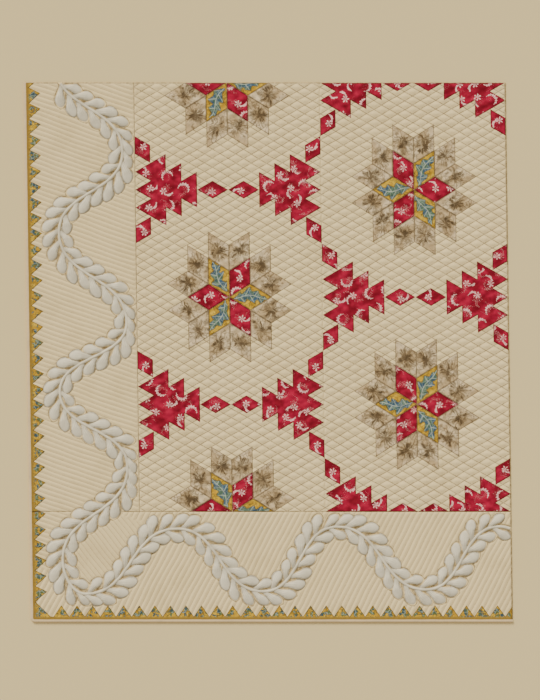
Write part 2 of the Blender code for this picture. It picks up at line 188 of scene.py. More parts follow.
class Graph:
    """Node tree of one material, with a single way to add any node."""

    def __init__(self, name: str) -> None:
        """Start a material that holds one Principled shader.

        Args:
            name: the material's name.
        """
        self.material = bpy.data.materials.new(name)
        self.material.use_nodes = True
        self.tree = self.material.node_tree
        self.shader = self.tree.nodes["Principled BSDF"]

    def make(self, kind: str, settings: dict | None = None, values: dict | None = None,
             out: int | str = 0) -> Sock:
        """Add a node.

        Args:
            kind: the node's type.
            settings: attributes that are set first.
            values: inputs by name or number, each a Sock or a constant.
            out: which output is returned.

        Returns:
            The chosen output, wrapped.
        """
        node = self.tree.nodes.new(kind)
        for key, value in (settings or {}).items():
            setattr(node, key, value)
        for key, value in (values or {}).items():
            if isinstance(value, Sock):
                self.tree.links.new(value.socket, node.inputs[key])
            else:
                node.inputs[key].default_value = value
        return Sock(self, node.outputs[out])

    def mix(self, share: Sock | float, low: "Sock | Colour", high: "Sock | Colour") -> Sock:
        """Blend two colours.

        Args:
            share: 0 gives low and 1 gives high.
            low: first colour.
            high: second colour.

        Returns:
            The blended colour.
        """
        ends = [v if isinstance(v, Sock) else (*v, 1.0) for v in (low, high)]
        return self.make("ShaderNodeMix", {"data_type": "RGBA", "clamp_factor": True},
                         {0: share, 6: ends[0], 7: ends[1]}, 2)

    def attribute(self, name: str) -> Sock:
        """Vector stored on the mesh under that name."""
        return self.make("ShaderNodeAttribute", {"attribute_name": name}, None, "Vector")

    def split(self, vector: Sock) -> tuple[Sock, Sock, Sock]:
        """The three numbers of a vector."""
        first = self.make("ShaderNodeSeparateXYZ", None, {0: vector})
        outs = first.socket.node.outputs
        return Sock(self, outs[0]), Sock(self, outs[1]), Sock(self, outs[2])

    def join(self, x: Sock | float, y: Sock | float, z: Sock | float) -> Sock:
        """A vector from three numbers."""
        return self.make("ShaderNodeCombineXYZ", None, {0: x, 1: y, 2: z})

    def noise(self, where: Sock, scale: float, detail: float) -> Sock:
        """Smooth noise, from about 0.25 to 0.75."""
        return self.make("ShaderNodeTexNoise", None,
                         {"Vector": where, "Scale": scale, "Detail": detail}, "Fac")

    def web(self, where: Sock, scale: float) -> Sock:
        """Distance to the nearest line of a web of uneven cells."""
        return self.make("ShaderNodeTexVoronoi",
                         {"voronoi_dimensions": "3D", "feature": "DISTANCE_TO_EDGE"},
                         {"Vector": where, "Scale": scale}, "Distance")

    def place(self) -> Sock:
        """Place on the piece, in metres."""
        return self.make("ShaderNodeTexCoord", None, None, "Object")

    def aged(self, colour: Colour, stain: Colour, cloud: float, grain: float,
             fleck: float) -> Sock:
        """Cloth with wide faint stains and small flecks.

        Args:
            colour: the clean cloth.
            stain: the colour of stains and flecks.
            cloud: strength of the stains.
            grain: scale of the flecks.
            fleck: strength of the flecks.

        Returns:
            The cloth's colour.
        """
        at = self.place()
        wide = self.noise(at, 9.0, 4.0).step(0.42, 0.75) * cloud
        small = self.noise(at, grain, 3.0).step(0.50, 0.80) * fleck
        return self.mix(wide + small, colour, stain)

    def finish(self, colour: "Sock | Colour", roughness: float,
               crinkle: float = 0.0) -> Material:
        """Connect the colour and set the constants.

        Args:
            colour: base colour, constant or from nodes.
            roughness: surface roughness.
            crinkle: strength of the small creases of washed cloth.

        Returns:
            The finished material.
        """
        if crinkle > 0.0:
            at = self.place()
            creases = self.noise(at, 150.0, 3.0) + self.noise(at, 520.0, 1.0) * 0.5
            bump = self.make("ShaderNodeBump", None, {
                "Height": creases, "Strength": crinkle, "Distance": 1.0 * MM}, "Normal")
            self.tree.links.new(bump.socket, self.shader.inputs["Normal"])
        if isinstance(colour, Sock):
            self.tree.links.new(colour.socket, self.shader.inputs["Base Color"])
        else:
            self.shader.inputs["Base Color"].default_value = (*colour, 1.0)
        self.shader.inputs["Roughness"].default_value = roughness
        self.shader.inputs["Specular IOR Level"].default_value = 0.18
        return self.material


@dataclass(frozen=True)
class PlainCotton:
    """Undyed or washed-out cloth with faint cloudy unevenness."""

    name: str
    colour: Colour
    stain: Colour = (0.40, 0.31, 0.19)
    cloud: float = 0.22
    roughness: float = 0.95

    def build(self) -> Material:
        """Make the material.

        Returns:
            The finished material.
        """
        g = Graph(self.name)
        cloth = g.aged(self.colour, self.stain, self.cloud, 60.0, self.cloud * 0.6)
        return g.finish(cloth, self.roughness)


@dataclass(frozen=True)
class QuiltedCotton:
    """Washed cloth with painted shade along the sunken rows of quilting, the leaf and stem rims,
    the seams and the free edges.
    """

    name: str
    colour: Colour
    line: float
    stain: Colour = (0.52, 0.375, 0.165)
    shade: Colour = (0.27, 0.185, 0.085)
    # strength: darkness of the painted shade along the rows; outline: darkness of the painted
    # shade at leaf and stem rims, seams and free edges.
    strength: float = 0.80
    outline: float = 0.95
    roughness: float = 0.95

    def build(self) -> Material:
        """Make the material.

        Returns:
            The finished material.
        """
        g = Graph(self.name)
        first, second, mask = g.split(g.attribute("rows"))
        cloth = g.aged(self.colour, self.stain, 0.22, 70.0, 0.14)
        # Painted shade: a thin dark line and a wide soft band along the sunken rows of quilting,
        # broken up by noise.
        near = abs(first - (first + 0.5).whole()).least(abs(second - (second + 0.5).whole()))
        painted_shade_mix = g.noise(g.place(), 120.0, 2.0).step(0.30, 0.62) * 0.55 + 0.45
        thin_row_shade = near.step(self.line, self.line * 0.35) * painted_shade_mix * self.strength
        wide = near.step(self.line * 3.0, 0.0) * 0.17
        # Painted shade line along the rims of the leaves and stem, the seams and the free edges,
        # where the cloth dips.
        clear = g.split(g.attribute("edge"))[0]
        outline = abs(clear - 1.0 * MM).step(3.4 * MM, 0.8 * MM) * painted_shade_mix * self.outline
        # drawn holds all the painted shade of the cloth: rows, rims, seams and free edges.
        drawn = (mask * clear.step(1.5 * MM, 4.5 * MM) * thin_row_shade.most(wide)).most(outline)
        return g.finish(g.mix(drawn, cloth, self.shade), self.roughness, 0.55)


@dataclass(frozen=True)
class FeatherCotton:
    """White stuffed cotton with painted shade in its gathers, at its neck and along its sewn rim.
    """

    name: str
    colour: Colour = (0.800, 0.705, 0.495)
    stain: Colour = (0.600, 0.520, 0.350)
    shade: Colour = (0.265, 0.225, 0.150)
    roughness: float = 0.93

    def build(self) -> Material:
        """Make the material.

        Returns:
            The finished material.
        """
        g = Graph(self.name)
        along, across, rim = g.split(g.attribute("gather"))
        at = g.place()
        cloth = g.mix(g.noise(at, 34.0, 3.0).step(0.38, 0.68) * 0.50, self.colour, self.stain)
        # Painted shade: fanned crease lines in the gathers, a darker neck and a line along the
        # sewn rim.
        fan = across * 15.0 + (g.noise(at, 24.0, 1.0) - 0.5) * 9.0
        crease_shade = (fan.wave() - 0.15).step(0.0, 0.85) * along.step(0.80, 0.12) * 0.46
        neck = along.step(0.42, 0.02) * 0.26
        painted_shade_mix = g.noise(at, 110.0, 2.0).step(0.28, 0.60) * 0.50 + 0.50
        rim_shade = rim.step(5.2 * MM, 1.0 * MM) * painted_shade_mix * 0.72
        return g.finish(g.mix((crease_shade + neck).most(rim_shade), cloth, self.shade), self.roughness)


@dataclass(frozen=True)
class CrimsonPrint:
    """Crimson cotton with pale six-petalled flowers, bent stalks and fern sprays; painted shade
    along its rim.
    """

    name: str
    deep: Colour = (0.205, 0.004, 0.014)
    bright: Colour = (0.420, 0.010, 0.040)
    petal: Colour = (0.930, 0.530, 0.450)
    # edge: colour of the painted shade along the patch's rim.
    edge: Colour = (0.110, 0.010, 0.012)
    repeat_mm: float = 60.0
    petal_mm: tuple[float, float] = (7.8, 5.3)
    stalk_mm: float = 17.0
    frond_mm: tuple[float, float] = (9.0, 19.0)
    roughness: float = 0.9

    def build(self) -> Material:
        """Make the material.

        Returns:
            The finished material.
        """
        g = Graph(self.name)
        u, v, seed = g.split(g.attribute("print"))
        depth = g.split(g.attribute("rim"))[0]
        here = g.join(u, v, seed)
        k = 1000.0 / self.repeat_mm
        cu, cv = (u * k + 0.5).whole(), (v * k + 0.5).whole()
        rand = g.split(g.make("ShaderNodeTexWhiteNoise", {"noise_dimensions": "3D"},
                              {"Vector": g.join(cu, cv, seed)}, "Color"))
        drift = (g.noise(here, 130.0, 2.0) - 0.5) * 7.0
        lu = (u * k - cu - (rand[0] - 0.5) * 0.34) * self.repeat_mm + drift
        lv = (v * k - cv - (rand[1] - 0.5) * 0.34) * self.repeat_mm - drift
        turn = rand[2] * 6.283
        r, a = lu.hypot(lv), lv.angle(lu) + turn
        round_off = (r - self.petal_mm[0]) / self.petal_mm[1]
        petals = ((a * 6.0).wave() * 0.80 + 0.30 - round_off * round_off).step(0.02, 0.24)
        eye = r.step(3.4, 2.4)
        flower = petals.most(eye) - r.step(1.6, 1.0)
        cos_t, sin_t = turn.wave(), (turn - math.pi / 2.0).wave()
        bow = (lu + cos_t * self.stalk_mm).hypot(lv + sin_t * self.stalk_mm) - self.stalk_mm
        ahead = lv * cos_t - lu * sin_t
        leafy = ((ahead * 0.95).wave() * 0.5 + 0.5) * 2.6 + 1.1
        stalk = (abs(bow) - leafy).step(0.8, -0.4) * ahead.step(7.5, 10.0) * ahead.step(26.0, 22.0)
        flower = flower.most(stalk)
        aside, arc = self.frond_mm
        su, sv = lu + cos_t * aside, lv + sin_t * aside
        r2 = su.hypot(sv)
        a2 = (sv * cos_t - su * sin_t).angle(su * cos_t + sv * sin_t)
        taper = 1.0 - (a2 / 1.9) * (a2 / 1.9)
        width = (((a2 * 15.0).wave() * 0.5 + 0.5) * 4.4 + 1.6) * taper
        fern = (abs(r2 - arc) - width).step(0.9, -0.6) * taper.step(0.0, 0.1)
        middle = cu.hypot(cv).step(0.6, 0.4)
        blossom = (rand[1] * 0.6 + rand[0] * 0.4).step(0.50, 0.53).most(middle)
        motif = flower * blossom + fern * (1.0 - blossom)
        cloth = g.mix(g.noise(here, 26.0, 3.0).step(0.35, 0.66), self.deep, self.bright)
        printed = g.mix((motif * 0.92).step(0.05, 0.95), cloth, self.petal)
        # Painted shade along the patch's rim.
        painted_shade_mix = g.mix(depth.step(5.5 * MM, 0.8 * MM) * 0.80, printed, self.edge)
        return g.finish(painted_shade_mix, self.roughness, 0.45)


@dataclass(frozen=True)
class ChintzPrint:
    """Golden chintz with blue-green leaves, pale veins and dark drawn lines; painted shade along
    its rim.
    """

    name: str
    ground: Colour = (0.500, 0.275, 0.018)
    light: Colour = (0.640, 0.400, 0.035)
    blue: Colour = (0.048, 0.095, 0.135)
    green: Colour = (0.085, 0.140, 0.085)
    vein: Colour = (0.500, 0.540, 0.400)
    leaf_scale: float = 70.0
    leaf_level: float = 0.44
    vein_share: float = 0.45
    spray: bool = False
    spray_reach: float = 61.0 * MM
    spray_half: float = 27.0 * MM
    drawn: Colour = (0.115, 0.075, 0.020)
    # edge: colour of the painted shade along the patch's rim.
    edge: Colour = (0.130, 0.075, 0.014)
    strip: Colour = (0.300, 0.175, 0.026)
    roughness: float = 0.8

    def build(self) -> Material:
        """Make the material.

        Returns:
            The finished material.
        """
        g = Graph(self.name)
        u, v, seed = g.split(g.attribute("print"))
        depth, plain, reach = g.split(g.attribute("rim"))
        here = g.join(u, v, seed * 0.37)
        fine = g.noise(here, 95.0, 2.0) - 0.5
        rib = v + (u * 52.0 + seed).wave() * 7.0 * MM + fine * 4.0 * MM
        lobe = ((u - abs(rib) * 0.6) * 190.0 + seed * 2.0
                + rib.step(-0.6 * MM, 0.6 * MM) * math.pi).wave()
        if self.spray:
            along = u / self.spray_reach
            half = (1.0 - along * along) * self.spray_half
            half = half * (lobe * 0.25 + 0.80) + fine * 14.0 * MM
            shape = (half - abs(rib)) / 0.070 + self.leaf_level
        else:
            clump = g.noise(here, self.leaf_scale, 2.0)
            shape = clump - u.hypot(v) / reach * 0.14 + fine * 0.16
        leaf = shape.step(self.leaf_level, self.leaf_level + 0.03) * (1.0 - plain)
        line = abs(shape - self.leaf_level).step(0.038, 0.010) * (1.0 - plain)
        tone = g.noise(g.join(u, v, seed * 0.37 + 3.0), 60.0, 2.0).step(0.44, 0.56)
        leaves = g.mix(tone, self.blue, self.green)
        web = g.web(here, 75.0)
        vein = web.step(0.10, 0.03) * self.vein_share
        if self.spray:
            side = (lobe - 0.93).step(0.0, 0.05) * 0.62
            vein = (abs(rib).step(1.7 * MM, 0.8 * MM) * 0.75).most(side).most(vein * 0.6)
        leaves = g.mix(vein, leaves, self.vein)
        twig = web.step(0.080, 0.020) * g.noise(here, 50.0, 1.0).step(0.40, 0.50) * 0.75
        cloth = g.mix(g.noise(here, 55.0, 3.0).step(0.4, 0.62), self.ground, self.light)
        cloth = g.mix(twig * (1.0 - plain), cloth, self.drawn)
        printed = g.mix(leaf, g.mix(plain, cloth, self.strip), leaves)
        printed = g.mix(line * 0.75, printed, self.drawn)
        # Painted shade along the patch's rim.
        return g.finish(g.mix(depth.step(3.4 * MM, 1.0 * MM) * 0.82, printed, self.edge),
                        self.roughness, 0.45)


@dataclass(frozen=True)
class ToilePrint:
    """Tan cloth with a dark clump of foliage and twigs that spread from it; painted shade along
    its rim.
    """

    name: str
    ground: Colour = (0.500, 0.350, 0.172)
    pale: Colour = (0.720, 0.550, 0.310)
    drawn: Colour = (0.070, 0.040, 0.015)
    # edge: colour of the painted shade along the patch's rim.
    edge: Colour = (0.110, 0.072, 0.036)
    roughness: float = 0.92

    def build(self) -> Material:
        """Make the material.

        Returns:
            The finished material.
        """
        g = Graph(self.name)
        u, v, seed = g.split(g.attribute("print"))
        depth, _, reach = g.split(g.attribute("rim"))
        here = g.join(u, v, seed * 0.37)
        cloth = g.mix(g.noise(here, 22.0, 3.0).step(0.38, 0.64), self.ground, self.pale)
        bent_u = u + (g.noise(here, 40.0, 2.0) - 0.5) * 0.030
        bent_v = v + (g.noise(g.join(v, u, seed * 0.37 + 5.0), 40.0, 2.0) - 0.5) * 0.030
        radius = bent_u.hypot(bent_v)
        turn = bent_v.angle(bent_u)
        rays = g.noise(g.join(turn.wave() * 3.2, (turn - 1.571).wave() * 3.2,
                              seed + radius * 26.0), 1.6, 2.0)
        clump = g.noise(here, 52.0, 4.0) * 0.55 + rays * 0.62 - radius / reach * 0.26
        core = clump.step(0.36, 0.48) * 0.62
        dark = clump.step(0.465, 0.55) * 0.92
        web = g.web(g.join(bent_u, bent_v, seed * 0.37), 64.0)
        twig = web.step(0.095, 0.02) * 0.62 * g.noise(here, 34.0, 1.0).step(0.40, 0.54)
        printed = g.mix(dark.most(twig.most(core)), cloth, self.drawn)
        # Painted shade along the patch's rim.
        return g.finish(g.mix(depth.step(3.0 * MM, 0.9 * MM) * 0.80, printed, self.edge),
                        self.roughness, 0.45)


# ---------------------------------------------------------------------- layout
@dataclass(frozen=True)
class Layout:
    """Sizes of the section, read from the frame's own solids."""

    patch: float
    border: float
    lean: float
    shift: Point
    star_side: float = 0.093
    star_slim: float = 0.92
    bind_w: float = 0.0095
    strip_w: float = 0.0100
    tooth_h: float = 0.0400
    tooth_pitch: float = 0.0553
    left_tip: float = -0.007
    foot_tip: float = -0.282
    corner_leg: float = 0.052
    corner_r: float = 0.015

    @classmethod
    def read(cls) -> "Layout":
        """Measure the frame.

        Returns:
            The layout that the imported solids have.
        """
        first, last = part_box("ground_column_1"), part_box("ground_column_2")
        half = 0.15 * MM
        height = first[1][1] - first[0][1] + half
        patch = height / 24.0
        wide = 6.0 * ROOT3 * patch
        lean = (first[1][0] - first[0][0] - (wide - 2.0 * half)) / height
        sy = first[1][1] - height
        sx = last[1][0] - 2.0 * wide + lean * half
        return cls(patch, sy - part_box("binding_foot")[0][1], lean, (sx, sy))

    @property
    def col_w(self) -> float:
        """Width of one ground column."""
        return 6.0 * ROOT3 * self.patch

    @property
    def field_w(self) -> float:
        """Width of the field."""
        return 2.0 * self.col_w

    @property
    def field_h(self) -> float:
        """Height of the field."""
        return 24.0 * self.patch

    @property
    def row(self) -> float:
        """Distance between cluster rows of one column."""
        return 12.0 * self.patch

    @property
    def tip_line(self) -> float:
        """Line that the tooth tips reach."""
        return -self.border + self.bind_w + self.strip_w + self.tooth_h

    def world(self, x: Array, y: Array, z: Array) -> Array:
        """Cloth coordinates to the row frame.

        Args:
            x: positions across.
            y: positions up the quilt.
            z: heights.

        Returns:
            An array of points, one row each.
        """
        x, y, z = np.broadcast_arrays(np.asarray(x, float), np.asarray(y, float),
                                      np.asarray(z, float))
        return np.stack([x - self.lean * y + self.shift[0], y + self.shift[1], z], -1)


class Raster:
    """Values on an even grid over the whole section, read back smoothly."""

    def __init__(self, lay: Layout, step: float, start: float) -> None:
        """Make an empty raster.

        Args:
            lay: the layout it covers.
            step: distance between grid points.
            start: value that fills it at first.
        """
        self.step = step
        self.x = np.arange(-lay.border - step, lay.field_w + 2 * step, step)
        self.y = np.arange(-lay.border - step, lay.field_h + 2 * step, step)
        self.value = np.full((len(self.x), len(self.y)), start)

    def window(self, pts: Array, margin: float) -> tuple[slice, slice]:
        """Index ranges that hold the points and a margin about them.

        Args:
            pts: the points.
            margin: distance kept on every side.

        Returns:
            Slices across and up.
        """
        low, high = pts.min(0) - margin, pts.max(0) + margin
        i = np.clip(((low - (self.x[0], self.y[0])) / self.step).astype(int), 0, None)
        j = ((high - (self.x[0], self.y[0])) / self.step).astype(int) + 2
        return slice(i[0], max(j[0], i[0] + 1)), slice(i[1], max(j[1], i[1] + 1))

    def grid(self, window: tuple[slice, slice]) -> tuple[Array, Array]:
        """Coordinates of the grid points in a window."""
        return np.meshgrid(self.x[window[0]], self.y[window[1]], indexing="ij")

    def read(self, x: Array, y: Array) -> Array:
        """Values between the grid points.

        Args:
            x: positions across.
            y: positions up.

        Returns:
            The values there.
        """
        fx = np.clip((x - self.x[0]) / self.step, 0, len(self.x) - 1.001)
        fy = np.clip((y - self.y[0]) / self.step, 0, len(self.y) - 1.001)
        i, j = fx.astype(int), fy.astype(int)
        tx, ty = fx - i, fy - j
        v = self.value
        return ((v[i, j] * (1 - tx) + v[i + 1, j] * tx) * (1 - ty)
                + (v[i, j + 1] * (1 - tx) + v[i + 1, j + 1] * tx) * ty)


# -------------------------------------------------------------- plan geometry
def inside(poly: Array, x: Array, y: Array) -> Array:
    """Whether points lie inside an outline.

    Args:
        poly: the outline's corners.
        x: positions across.
        y: positions up.

    Returns:
        True where a point is inside.
    """
    odd = np.zeros(x.shape, bool)
    for (ax, ay), (bx, by) in zip(poly, np.roll(poly, -1, 0)):
        if ay == by:
            continue
        odd ^= ((ay > y) != (by > y)) & (x < (bx - ax) * (y - ay) / (by - ay) + ax)
    return odd


def rim_distance(poly: Array, x: Array, y: Array) -> Array:
    """Distance from points to the nearest side of an outline.

    Args:
        poly: the outline's corners.
        x: positions across.
        y: positions up.

    Returns:
        The distances.
    """
    best = np.full(x.shape, 1e9)
    for (ax, ay), (bx, by) in zip(poly, np.roll(poly, -1, 0)):
        dx, dy = bx - ax, by - ay
        t = np.clip(((x - ax) * dx + (y - ay) * dy) / max(dx * dx + dy * dy, 1e-18), 0, 1)
        best = np.minimum(best, np.hypot(x - ax - t * dx, y - ay - t * dy))
    return best


def area(poly: Sequence[Point]) -> float:
    """Signed area of an outline."""
    p = np.asarray(poly)
    q = np.roll(p, -1, 0)
    return float((p[:, 0] * q[:, 1] - q[:, 0] * p[:, 1]).sum() / 2.0)


def tidy(poly: Iterable[Point]) -> Outline:
    """Outline without repeated points, running anticlockwise.

    Args:
        poly: the outline's corners.

    Returns:
        The cleaned outline.
    """
    out: Outline = []
    for p in poly:
        if not out or math.dist(p, out[-1]) > 1e-6:
            out.append((float(p[0]), float(p[1])))
    if math.dist(out[0], out[-1]) <= 1e-6:
        out.pop()
    return out if area(out) > 0 else out[::-1]


def clip(poly: Outline, axis: int, limit: float, above: bool) -> Outline:
    """Part of an outline on one side of a line square to an axis.

    Args:
        poly: the outline.
        axis: 0 for a line at a fixed x, 1 for one at a fixed y.
        limit: where the line stands.
        above: keep the side of larger values.

    Returns:
        What is kept.
    """
    sign = 1.0 if above else -1.0
    out: Outline = []
    for a, b in zip(poly, poly[1:] + poly[:1]):
        da, db = sign * (a[axis] - limit), sign * (b[axis] - limit)
        if da >= 0.0:
            out.append(a)
        if (da > 0.0 > db) or (da < 0.0 < db):
            t = da / (da - db)
            out.append((a[0] + t * (b[0] - a[0]), a[1] + t * (b[1] - a[1])))
    return tidy(out)


def inset(poly: Outline, dist: float) -> Outline:
    """Outline moved inwards by dist, with mitred corners.

    Args:
        poly: the outline.
        dist: how far it moves.

    Returns:
        The smaller outline.
    """
    p = np.asarray(tidy(poly))
    a, b = p - np.roll(p, 1, 0), np.roll(p, -1, 0) - p
    na = np.stack([-a[:, 1], a[:, 0]], 1) / np.hypot(*a.T)[:, None]
    nb = np.stack([-b[:, 1], b[:, 0]], 1) / np.hypot(*b.T)[:, None]
    mitre = (na + nb) / np.maximum(1.0 + (na * nb).sum(1), 0.15)[:, None]
    return [tuple(q) for q in p + mitre * dist]


def resample(poly: Outline, step: float) -> Array:
    """Corners of an outline and even points between them.

    Args:
        poly: the outline.
        step: distance between points, about.

    Returns:
        The points.
    """
    out = []
    for a, b in zip(poly, poly[1:] + poly[:1]):
        n = max(1, round(math.dist(a, b) / step))
        out += [(a[0] + (b[0] - a[0]) * i / n, a[1] + (b[1] - a[1]) * i / n) for i in range(n)]
    return np.asarray(out)


# ---------------------------------------------------------------- feather vine
@dataclass
class StemLine:
    """Centreline of the vine: cubic pieces between its turning points."""

    lay: Layout
    turns: tuple[tuple[float, float, str], ...] = (
        (-0.704, 1.040, "D"), (-0.110, 0.839, "D"), (-0.694, 0.650, "D"),
        (-0.092, 0.441, "D"), (-0.706, 0.279, "D"), (-0.102, 0.104, "D"),
        (-0.700, -0.440, "D"), (-0.500, -0.745, "R"), (0.100, -0.155, "R"),
        (0.330, -0.722, "R"), (0.531, -0.137, "R"), (0.768, -0.706, "R"),
        (0.966, -0.135, "R"), (1.160, -0.700, "R"))
    pull: float = 0.52
    step: float = 2.0 * MM

    def points(self) -> Array:
        """Evenly spaced points along the whole stem.

        Returns:
            Points in cloth coordinates.
        """
        lay = self.lay

        def scale(v: float, full: float) -> float:
            """A share of the border below zero, or of the field above it."""
            return v * lay.border if v < 0 else v * full

        ends = [(np.array((scale(x, lay.field_w), scale(y, lay.field_h))),
                 np.array((0.0, -1.0) if d == "D" else (1.0, 0.0))) for x, y, d in self.turns]
        dense = []
        for (p, hp), (q, hq) in zip(ends, ends[1:]):
            p1 = p + hp * self.pull * abs((q - p) @ hp)
            q1 = q - hq * self.pull * abs((q - p) @ hq)
            t = np.linspace(0, 1, 200, endpoint=False)[:, None]
            s = 1 - t
            dense.append(p * s ** 3 + p1 * 3 * s * s * t + q1 * 3 * s * t * t + q * t ** 3)
        line = np.concatenate(dense)
        run = np.concatenate([[0], np.cumsum(np.hypot(*np.diff(line, axis=0).T))])
        even = np.arange(0, run[-1], self.step)
        return np.stack([np.interp(even, run, line[:, 0]), np.interp(even, run, line[:, 1])], 1)


WIDEST = 0.62    # share of a leaf's length at which it is widest
FULL = 0.47      # width of the plainest stuffed form, as a share of its length


@dataclass(frozen=True)
class Leaf:
    """Place of one leaf: its stem end, direction and size."""

    x: float
    y: float
    angle: float
    length: float
    width: float
    side: int
    kind: int

    def bend(self, along: Array) -> Array:
        """How far the middle of the leaf curls aside at a distance along it."""
        t = along / self.length
        return self.side * 0.17 * self.length * t * (0.62 - np.clip(t, 0.0, 1.0))

    def local(self, x: Array, y: Array) -> tuple[Array, Array]:
        """Position along and across the leaf."""
        c, s = math.cos(self.angle), math.sin(self.angle)
        along = (x - self.x) * c + (y - self.y) * s
        return along, -(x - self.x) * s + (y - self.y) * c - self.bend(along)

    def plan(self, along: Array, across: Array) -> Array:
        """Cloth coordinates of places along and across the leaf.

        Args:
            along: distances from the stem end.
            across: distances from the curved middle line.

        Returns:
            Points, one row each.
        """
        c, s = math.cos(self.angle), math.sin(self.angle)
        across = across + self.bend(along)
        return np.stack([self.x + along * c - across * s, self.y + along * s + across * c], 1)

    def spots(self) -> Array:
        """A few points round the outline."""
        t = np.linspace(0.35, 1.0, 8)
        w = leaf_half_width(t) * self.width
        return self.plan(np.tile(t * self.length, 2), np.concatenate([w, -w]))


def leaf_half_width(t: Array) -> Array:
    """Half width of a leaf at a share of its length, as a share of its full width.

    Args:
        t: shares of the length, from the stem end.

    Returns:
        Half widths.
    """
    t = np.clip(t, 0.0, 1.0)
    neck = 0.17 + 0.33 * np.clip(t / WIDEST, 0, 1) ** 0.85
    tip = np.clip(1.0 - (np.clip(t - WIDEST, 0, 1) / (1.0 - WIDEST)) ** 2.1, 0, 1) ** 0.58
    return neck * np.where(t > WIDEST, tip, 1.0)


@dataclass
class FeatherPlan:
    """Where every leaf of the vine stands."""

    lay: Layout
    line: Array
    length: float = 0.082
    width: float = 0.041
    spacing: float = 0.0475
    sweep: float = 36.0
    opening: float = 0.62
    shorter: float = 0.012
    thinner: float = 0.010
    wobble: float = 4.0

    def frames(self) -> tuple[Array, Array]:
        """Heading and bend of the stem at each of its points.

        Returns:
            Angles in radians, and bends in radians for each metre.
        """
        d = np.gradient(self.line, axis=0)
        heading = np.unwrap(np.arctan2(d[:, 1], d[:, 0]))
        k = np.gradient(heading) / np.hypot(d[:, 0], d[:, 1])
        kernel = np.ones(21) / 21.0
        return heading, np.convolve(np.pad(k, 10, mode="edge"), kernel, "valid")

    def fits(self, leaf: Leaf) -> bool:
        """Whether a leaf keeps clear of the seams and of the teeth.

        Args:
            leaf: the leaf.

        Returns:
            True where it does.
        """
        lay, p = self.lay, leaf.spots()
        low = lay.tip_line - 3.0 * MM
        ok = p[:, 0].min() > low and p[:, 1].min() > low
        over = (p[:, 0] > -5.0 * MM) & (p[:, 1] > -5.0 * MM)
        return bool(ok and not over.any())

    def fitted(self, rng: np.random.Generator, at: Point, heading: float, theta: float,
               side: int, size: float, wide: float) -> Leaf:
        """A leaf that is laid closer to the stem, and smaller, until it fits.

        Args:
            rng: source of the small differences between leaves.
            at: its stem end.
            heading: the stem's direction there.
            theta: the angle it would like to stand at, degrees.
            side: 1 to the left of the stem, -1 to the right.
            size: its length.
            wide: its width.

        Returns:
            The first leaf that fits, or the last that was tried.
        """
        wobble = rng.uniform(-self.wobble, self.wobble)
        for trial in np.arange(0.0, theta - 8.0, 2.0):
            length = size * (1.0 - 0.006 * trial)
            if trial == 0:
                length *= rng.uniform(0.97, 1.03)
            leaf = Leaf(*at, heading + side * math.radians(theta - trial + wobble), length,
                        wide * (1.0 - 0.008 * trial), side, int(rng.integers(0, 4)))
            if self.fits(leaf):
                break
        return leaf

    def leaves(self) -> list[Leaf]:
        """Walk the stem and set a leaf wherever the last one is far enough behind.

        Returns:
            The leaves, from the top of the left border to the right edge.
        """
        heading, bend = self.frames()
        free = np.array((self.lay.field_w, self.lay.field_h))
        out = []
        rng = np.random.default_rng(7)
        for side in (1, -1):
            last = None
            for i in range(0, len(self.line), 2):
                at = self.line[i]
                curl = side * bend[i]
                tight = max(0.0, curl)
                extra = math.degrees(math.asin(min(0.9, tight * self.length / 2.0)))
                theta = self.sweep + self.opening * extra + (5.0 if curl < -4.0 else 0.0)
                size = self.length * (1.0 - self.shorter * tight)
                a = heading[i] + side * math.radians(theta)
                mid = at + WIDEST * size * np.array((math.cos(a), math.sin(a)))
                if last is not None and np.hypot(*(mid - last)) < self.spacing:
                    continue
                if (np.maximum(mid + 12.0 * MM, at + 8.0 * MM) > free).any():
                    continue
                leaf = self.fitted(rng, tuple(at), heading[i], theta, side, size,
                                   self.width * (1.0 - self.thinner * tight))
                if (leaf.spots().max(0) > free - 3.0 * MM).any():
                    continue
                last = mid
                out.append(leaf)
        return out


# --------------------------------------------------------------------- relief
@dataclass(frozen=True)
class Rows:
    """One family of parallel quilting rows."""

    slope: float
    spacing: float
    phase: float = 0.0

    def across(self, x: Array, y: Array) -> Array:
        """Position across the rows, in rows."""
        a = math.radians(self.slope)
        return (-x * math.sin(a) + y * math.cos(a)) / self.spacing + self.phase

    def distance(self, x: Array, y: Array) -> Array:
        """Distance to the nearest row."""
        f = np.mod(self.across(x, y), 1.0)
        return np.minimum(f, 1.0 - f) * self.spacing


def puff(distance: Array, width: float) -> Array:
    """Rise of the cloth away from a line of stitches, from 0 to 1."""
    return 1.0 - np.exp(-((distance / width) ** 2))


